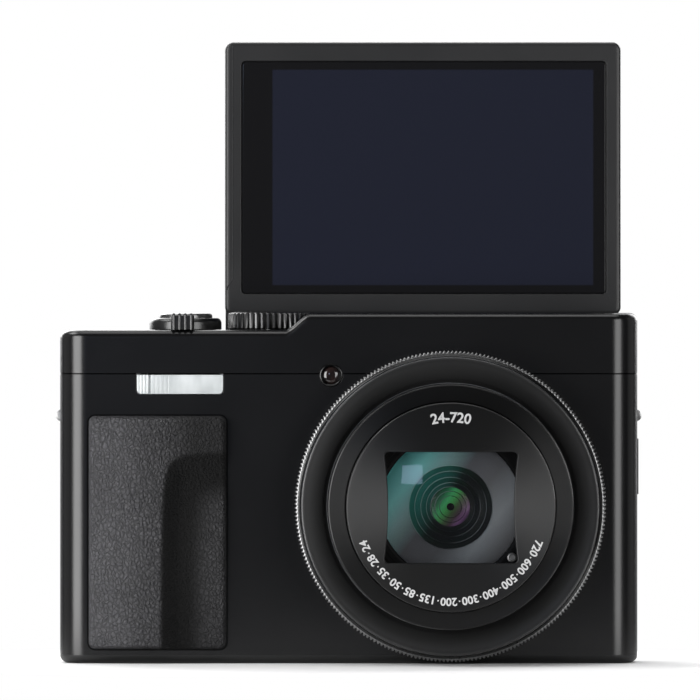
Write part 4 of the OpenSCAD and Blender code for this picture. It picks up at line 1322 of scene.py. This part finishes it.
def build_lever():
    """Zoom lever with its ridged tab, and the shutter button inside it."""
    c = centre_of("shutter_button")
    z = PLATE + 0.15
    ring = [(5.28, z - 2.9), (6.8, z - 2.9), (6.8, z - 2.1), (5.9, z - 2.1), (5.9, z - 0.1),
            (6.96, z - 0.1), (7.0, z), (7.0, z + 1.25),
            (6.9, z + 1.6), (6.65, z + 1.95), (6.3, z + 2.15), (5.6, z + 2.15), (5.4, z + 2.1),
            (5.28, z + 1.95)]
    obj = lathe("zoom_lever_ring", ring, (c.x, c.y, 0), "Z", 96, closed=True)
    place(obj, "zoom_lever", MAT["dial"], ["zoom_lever"], angle=30)
    bm = bmesh.new()
    tab = [(c.x - 2.75, c.y - 5.6), (c.x - 2.75, c.y - 8.3), (c.x - 2.3, c.y - 8.8), (c.x + 1.3, c.y - 8.8),
           (c.x + 1.75, c.y - 8.3), (c.x + 1.75, c.y - 5.6)]
    add_prism(bm, tab, z - 0.1, z + 2.75)
    tab_obj = new_object("zoom_lever_tab", bm)
    round_edges(tab_obj, 0.3, 3)
    place(tab_obj, "zoom_lever", MAT["dial"])
    bm = bmesh.new()
    for i in range(4):
        x = c.x - 2.2 + i * 1.13
        rib = arc((x, z + 2.75), 0.32, 0, 180, 8)
        y0, y1 = c.y - 8.85, c.y - 5.4
        add_prism(bm, [(px, pz) for px, pz in rib] + [(x - 0.32, z + 2.3), (x + 0.32, z + 2.3)], y0, y1,
                  "Y")
        front = arc((x, c.y - 8.78), 0.3, 180, 360, 8)
        add_prism(bm, front + [(x + 0.3, c.y - 8.5), (x - 0.3, c.y - 8.5)], z - 0.1, z + 2.75)
    ribs = new_object("zoom_lever_ribs", bm)
    place(ribs, "zoom_lever", MAT["ribs"], angle=50)
    top = PLATE + 3.2
    cap = [(0, PLATE - 4), (1.5, PLATE - 4), (1.5, PLATE + 0.6), (5.1, PLATE + 0.6), (5.2, PLATE + 0.75),
           (5.2, top - 0.55),
           (5.12, top - 0.25), (4.9, top - 0.07), (4.6, top), (4.3, top - 0.08), (3.6, top - 0.3),
           (2.4, top - 0.42), (0, top - 0.48)]
    obj = lathe("shutter_cap", cap, (c.x, c.y, 0), "Z", 96)
    place(obj, "shutter_button", metal("shutter_metal", 0.14, 0.28), ["shutter_button"],
          angle=30)


def button(node, radius, low, high, centre, axis):
    """Round push button: dished cap with a turned edge and a collar."""
    collar = 0.7
    profile = [(0, low), (radius + collar, low), (radius + collar, low + 0.7), (radius, low + 0.7),
               (radius, high - 0.3),
               (radius - 0.07, high - 0.1), (radius - 0.25, high), (radius - 0.5, high - 0.03),
               (radius * 0.5, high - 0.14),
               (0, high - 0.17)]
    obj = lathe(node + "_cap", profile, centre, axis, 64)
    place(obj, node, MAT["control"], [node], 30)


def build_buttons():
    for node, radius, slot in (("power_button", 2.6, "button_black"), ("movie_button", 2.4, "button_red")):
        c = centre_of(node)
        button(node, radius, PLATE - 2.2, PLATE - 0.02, (c.x, c.y, 0), "Z")
    c = centre_of("movie_button")
    dot = lathe("movie_button_dot", [(0, PLATE - 0.3), (1.0, PLATE - 0.3), (1.0, PLATE - 0.12),
                                     (0.9, PLATE - 0.07), (0, PLATE - 0.05)],
                (c.x, c.y, 0), "Z", 32)
    place(dot, "movie_button", MAT["red"])
    for node in REAR_BUTTONS:
        c = centre_of(node)
        button(node, REAR_BUTTON_R, REAR - 2.3, REAR + 0.6, (c.x, 0, c.z), "Y")


def build_wheel():
    """Rear control wheel, and the button in its middle."""
    r = WHEEL_R - 0.3
    stations = [(REAR - 1.7, 4.68, 0), (REAR - 1.7, r - 0.1, 0), (REAR + 0.1, r - 0.05, 0),
                (REAR + 0.25, r, 1), (REAR + 0.75, r, 1),
                (REAR + 0.95, r - 0.12, 0.4), (REAR + 1.08, r - 0.5, 0), (REAR + 1.1, r - 0.9, 0),
                (REAR + 0.85, 7.6, 0),
                (REAR + 0.7, 6.4, 0), (REAR + 0.72, 5.2, 0), (REAR + 0.6, 4.75, 0), (REAR + 0.4, 4.68, 0)]
    wave = (0.0, 0.7, 1.0, 1.0, 0.7, 0.0)
    obj = knurled("control_wheel_knurled", stations, 60, wave, 0.3, (WHEEL_X, 0, WHEEL_Z), "Y", closed=True)
    place(obj, "control_dial", MAT["control"], ["control_dial"], angle=40, weighted=False)
    cap = [(0, REAR - 3), (1.2, REAR - 3), (1.2, REAR - 1.8), (4.0, REAR - 1.8), (4.0, REAR + 0.8),
           (3.92, REAR + 1.0), (3.7, REAR + 1.1),
           (3.0, REAR + 1.05), (0, REAR + 0.95)]
    obj = lathe("menu_button_cap", cap, (WHEEL_X, 0, WHEEL_Z), "Y", 64)
    place(obj, "menu_button", MAT["control"], ["menu_button"], angle=30)


build_mode_dial()
build_lever()
build_buttons()
build_wheel()


# ---------------------------------------------------------------- flash, lamp, sides

def flash_material():
    """Milky flash window: bright and almost even, with faint cloudy bands from the reflector."""
    g = Surface("flash_white", Coat_Weight=0.3)
    soft = g.noise(g.coords((1.0, 0.2, 0.35)), 300.0, 2.0)
    g.put("Base Color", g.ramp(soft, [(0.3, (0.50, 0.53, 0.535, 1)), (0.6, (0.66, 0.69, 0.695, 1))]))
    g.gloss(soft, 0.18, 0.28)
    g.bump(soft, 0.00002)
    return g.mat


def flash_face(x):
    """Depth of the flash window's face at x: ribs at the left, a divider, faint ribs, then smooth."""
    t = x - FLASH_LO.x
    if t < 2.35:
        return 0.16 * abs(math.sin(math.pi * t / 0.62))
    if t < 2.75:
        return -0.3
    if t < 6.2:
        return 0.06 * abs(math.sin(math.pi * (t - 2.75) / 0.86))
    return 0.05


def build_flash():
    """Flash window: moulded face with upright ribs, rounded lower corners and a straight upper edge."""
    lo, hi = FLASH_LO, FLASH_HI
    y = FRONT + 0.14
    steps = 240
    corner = 0.85
    bm = bmesh.new()
    columns = []
    for i in range(steps + 1):
        x = lo.x + 0.05 + (hi.x - lo.x - 0.1) * i / steps
        near = min(x - lo.x - 0.05, hi.x - 0.05 - x)
        lift = corner - math.sqrt(max(0.0, corner ** 2 - (corner - min(near, corner)) ** 2))
        bottom, top = lo.z + 0.05 + lift, hi.z - 0.02
        face = y - flash_face(x)
        columns.append([Vector((x, FRONT + WALL, bottom)), Vector((x, y + 0.25, bottom)),
                        Vector((x, face + 0.05, bottom + 0.06)),
                        Vector((x, face, bottom + 0.2)), Vector((x, face, top - 0.12)),
                        Vector((x, face + 0.05, top)),
                        Vector((x, FRONT + WALL, top))])
    add_loops(bm, columns)
    obj = new_object("flash_window_lens", bm)
    place(obj, "camera_body", flash_material(), ["flash_window"], angle=40, weighted=False)


def build_lamp():
    """Focus lamp: turned rim, dark red lens."""
    y = -FRONT
    rim = [(1.62, y - 1.2), (2.2, y - 1.2), (2.2, y + 0.02), (2.12, y + 0.08), (1.95, y + 0.1),
           (1.75, y - 0.05), (1.62, y - 0.35)]
    obj = lathe("lamp_rim", rim, (LAMP_X, 0, LAMP_Z), "-Y", 64, closed=True)
    place(obj, "camera_body", metal("lamp_rim_metal", 0.035, 0.2), angle=40)
    g = Surface("lamp_glass", Roughness=0.08, Coat_Weight=0.6)
    g.tone(g.noise(g.coords(), 700.0, 2.0), (0.006, 0.005, 0.005, 1), (0.018, 0.010, 0.009, 1))
    eye = [(0, y - 0.12), (0.5, y - 0.14), (1.0, y - 0.22), (1.35, y - 0.34), (1.6, y - 0.5),
           (1.6, y - 1.2), (0, y - 1.2)]
    lens = lathe("lamp_lens", eye, (LAMP_X, 0, LAMP_Z), "-Y", 48)
    place(lens, "camera_body", g.mat, ["af_lamp_window"], angle=40)


build_flash()
build_lamp()


# ---------------------------------------------------------------- CAD pieces that keep their shape

def dress(node, material):
    """Keeps a CAD piece, with its edges turned over and a proper finish."""
    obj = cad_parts[node]
    for holder in obj.material_slots:
        holder.material = material
    weld = obj.modifiers.new("weld", "WELD")
    weld.merge_threshold = 1e-6
    bevel = obj.modifiers.new("edge", "BEVEL")
    bevel.width = 0.08 * MM
    bevel.segments = 2
    bevel.limit_method = "ANGLE"
    bevel.angle_limit = math.radians(40.0)
    bevel.use_clamp_overlap = True
    obj.modifiers.new("weighted", "WEIGHTED_NORMAL")


for node, key in {
    "strap_lug_left": "chrome", "strap_lug_right": "chrome", "tripod_socket": "brass",
    "body_screws": "steel",
    "main_board": "board", "battery_holder": "grey", "battery": "battery", "memory_card": "card",
    "hdmi_socket": "steel", "usb_socket": "steel", "eyepiece_frame": "matt", "hinge_pin": "steel",
    "flash_reflector": "chrome", "image_sensor": "card", "battery_door": "door", "battery_latch": "control",
    "battery_catch": "catch", "terminal_door": "door", "dial_gimbal": "grey", "dial_base": "control",
    "diopter_dial": "control", "screen_module": "matt", "cam_ring": "steel",
}.items():
    dress(node, MAT[key])
dress("eyepiece_lens", clear_glass("eyepiece_glass", (0.01, 0.012, 0.02, 1), (0.015, 0.014, 0.03, 1), 0.04,
                                   0.75, 1.7))


# ---------------------------------------------------------------- stage

STAGE_CENTRE = Vector((0.0, 0.0, 0.05))
LIGHTS = (
    # name, azimuth, elevation, distance, width, height, radiance, colour
    ("strip_left", -44, 4, 1.0, 0.62, 0.7, 8.0, (1, 1, 1)),
    ("strip_right", 34, 4, 1.1, 0.5, 0.6, 5.0, (1, 1, 1)),
    ("window", -9.4, 7.4, 1.0, 0.10, 0.09, 3.4, (0.56, 0.7, 1.0)),
    ("upper_left", -90, 50, 1.1, 0.5, 0.4, 7.0, (1, 1, 1)),
    ("overhead", 0, 80, 1.1, 0.9, 0.6, 2.3, (1, 1, 1)),
    ("top_rear", 180, 55, 1.2, 1.0, 0.5, 4.0, (1, 1, 1)),
    ("rear_key", -165, 25, 1.3, 0.7, 0.5, 5.0, (1, 1, 1)),
    ("side_left", -98, 12, 1.1, 0.7, 0.8, 0.35, (1, 1, 1)),
    ("side_right", 98, 12, 1.1, 0.7, 0.8, 0.35, (1, 1, 1)),
    ("behind_left", -150, 20, 1.2, 0.6, 0.8, 4.0, (1, 1, 1)),
    ("behind_right", 150, 20, 1.2, 0.6, 0.8, 4.0, (1, 1, 1)),
)


def area_light(name, azimuth, elevation, distance, width, height, radiance, colour):
    """Soft box that faces the stage. Azimuth 0 is the camera's side, positive to its right."""
    a, e = math.radians(azimuth), math.radians(elevation)
    out = Vector((math.sin(a) * math.cos(e), -math.cos(a) * math.cos(e), math.sin(e)))
    data = bpy.data.lights.new(name, "AREA")
    data.shape = "RECTANGLE"
    data.size, data.size_y = width, height
    data.energy = radiance * width * height * math.pi
    data.color = colour
    light = bpy.data.objects.new(name, data)
    light.location = STAGE_CENTRE + out * distance
    light.rotation_euler = out.to_track_quat("Z", "Y").to_euler()
    bpy.context.scene.collection.objects.link(light)


def build_stage():
    """Plain pale floor with a barely visible paper texture, and the lights."""
    g = Surface("floor_pale", Specular_IOR_Level=0.05)
    fibre = g.noise(g.coords(), 600.0)
    g.tone(fibre, grey(0.90), grey(0.91))
    g.gloss(fibre, 0.85, 0.9)
    bm = bmesh.new()
    add_lathe(bm, [(0, 0), (0.05 / MM, 0), (0.08 / MM, 0), (0.11 / MM, 0)], (0, 0, 0), "Z", 96)
    floor = new_object("floor", bm)
    floor.data.materials.append(g.mat)
    for light in LIGHTS:
        area_light(*light)


def build_world():
    """White to the eye. For reflections dim in front, and brighter behind the object."""
    world = bpy.data.worlds.new("studio")
    bpy.context.scene.world = world
    world.use_nodes = True
    g = Graph(world.node_tree)
    split = g.add("SeparateXYZ", {"Vector": g.add("TexCoord").outputs["Generated"]})
    behind = g.remap(split.outputs["Y"], 0.0, 1.0, 0.5, 0.9)
    dim, pale = g.nodes["Background"], g.add("Background", {"Color": grey(1.0)})
    g.feed(dim, "Color", g.ramp(behind, [(0.0, (0.05, 0.05, 0.054, 1)), (1.0, (0.42, 0.42, 0.43, 1))]))
    mix = g.add("MixShader", {"Fac": g.add("LightPath").outputs["Is Camera Ray"],
                              1: dim.outputs["Background"], 2: pale.outputs["Background"]})
    g.feed(g.nodes["World Output"], "Surface", mix.outputs["Shader"])


def build_camera():
    """Level view of the front, from far enough for the flat perspective of a product picture."""
    distance = 2.6
    view_width = 0.13624
    sensor = 36.0
    data = bpy.data.cameras.new("camera")
    data.sensor_width = sensor
    data.lens = sensor * distance / view_width
    data.clip_start = 0.05
    data.clip_end = 20.0
    camera = bpy.data.objects.new("camera", data)
    camera.location = (0.00025, -distance, 0.0607)
    camera.rotation_euler = (math.radians(90), 0, 0)
    bpy.context.scene.collection.objects.link(camera)
    bpy.context.scene.camera = camera


build_stage()
build_world()
build_camera()
bpy.context.scene.view_settings.view_transform = "Standard"
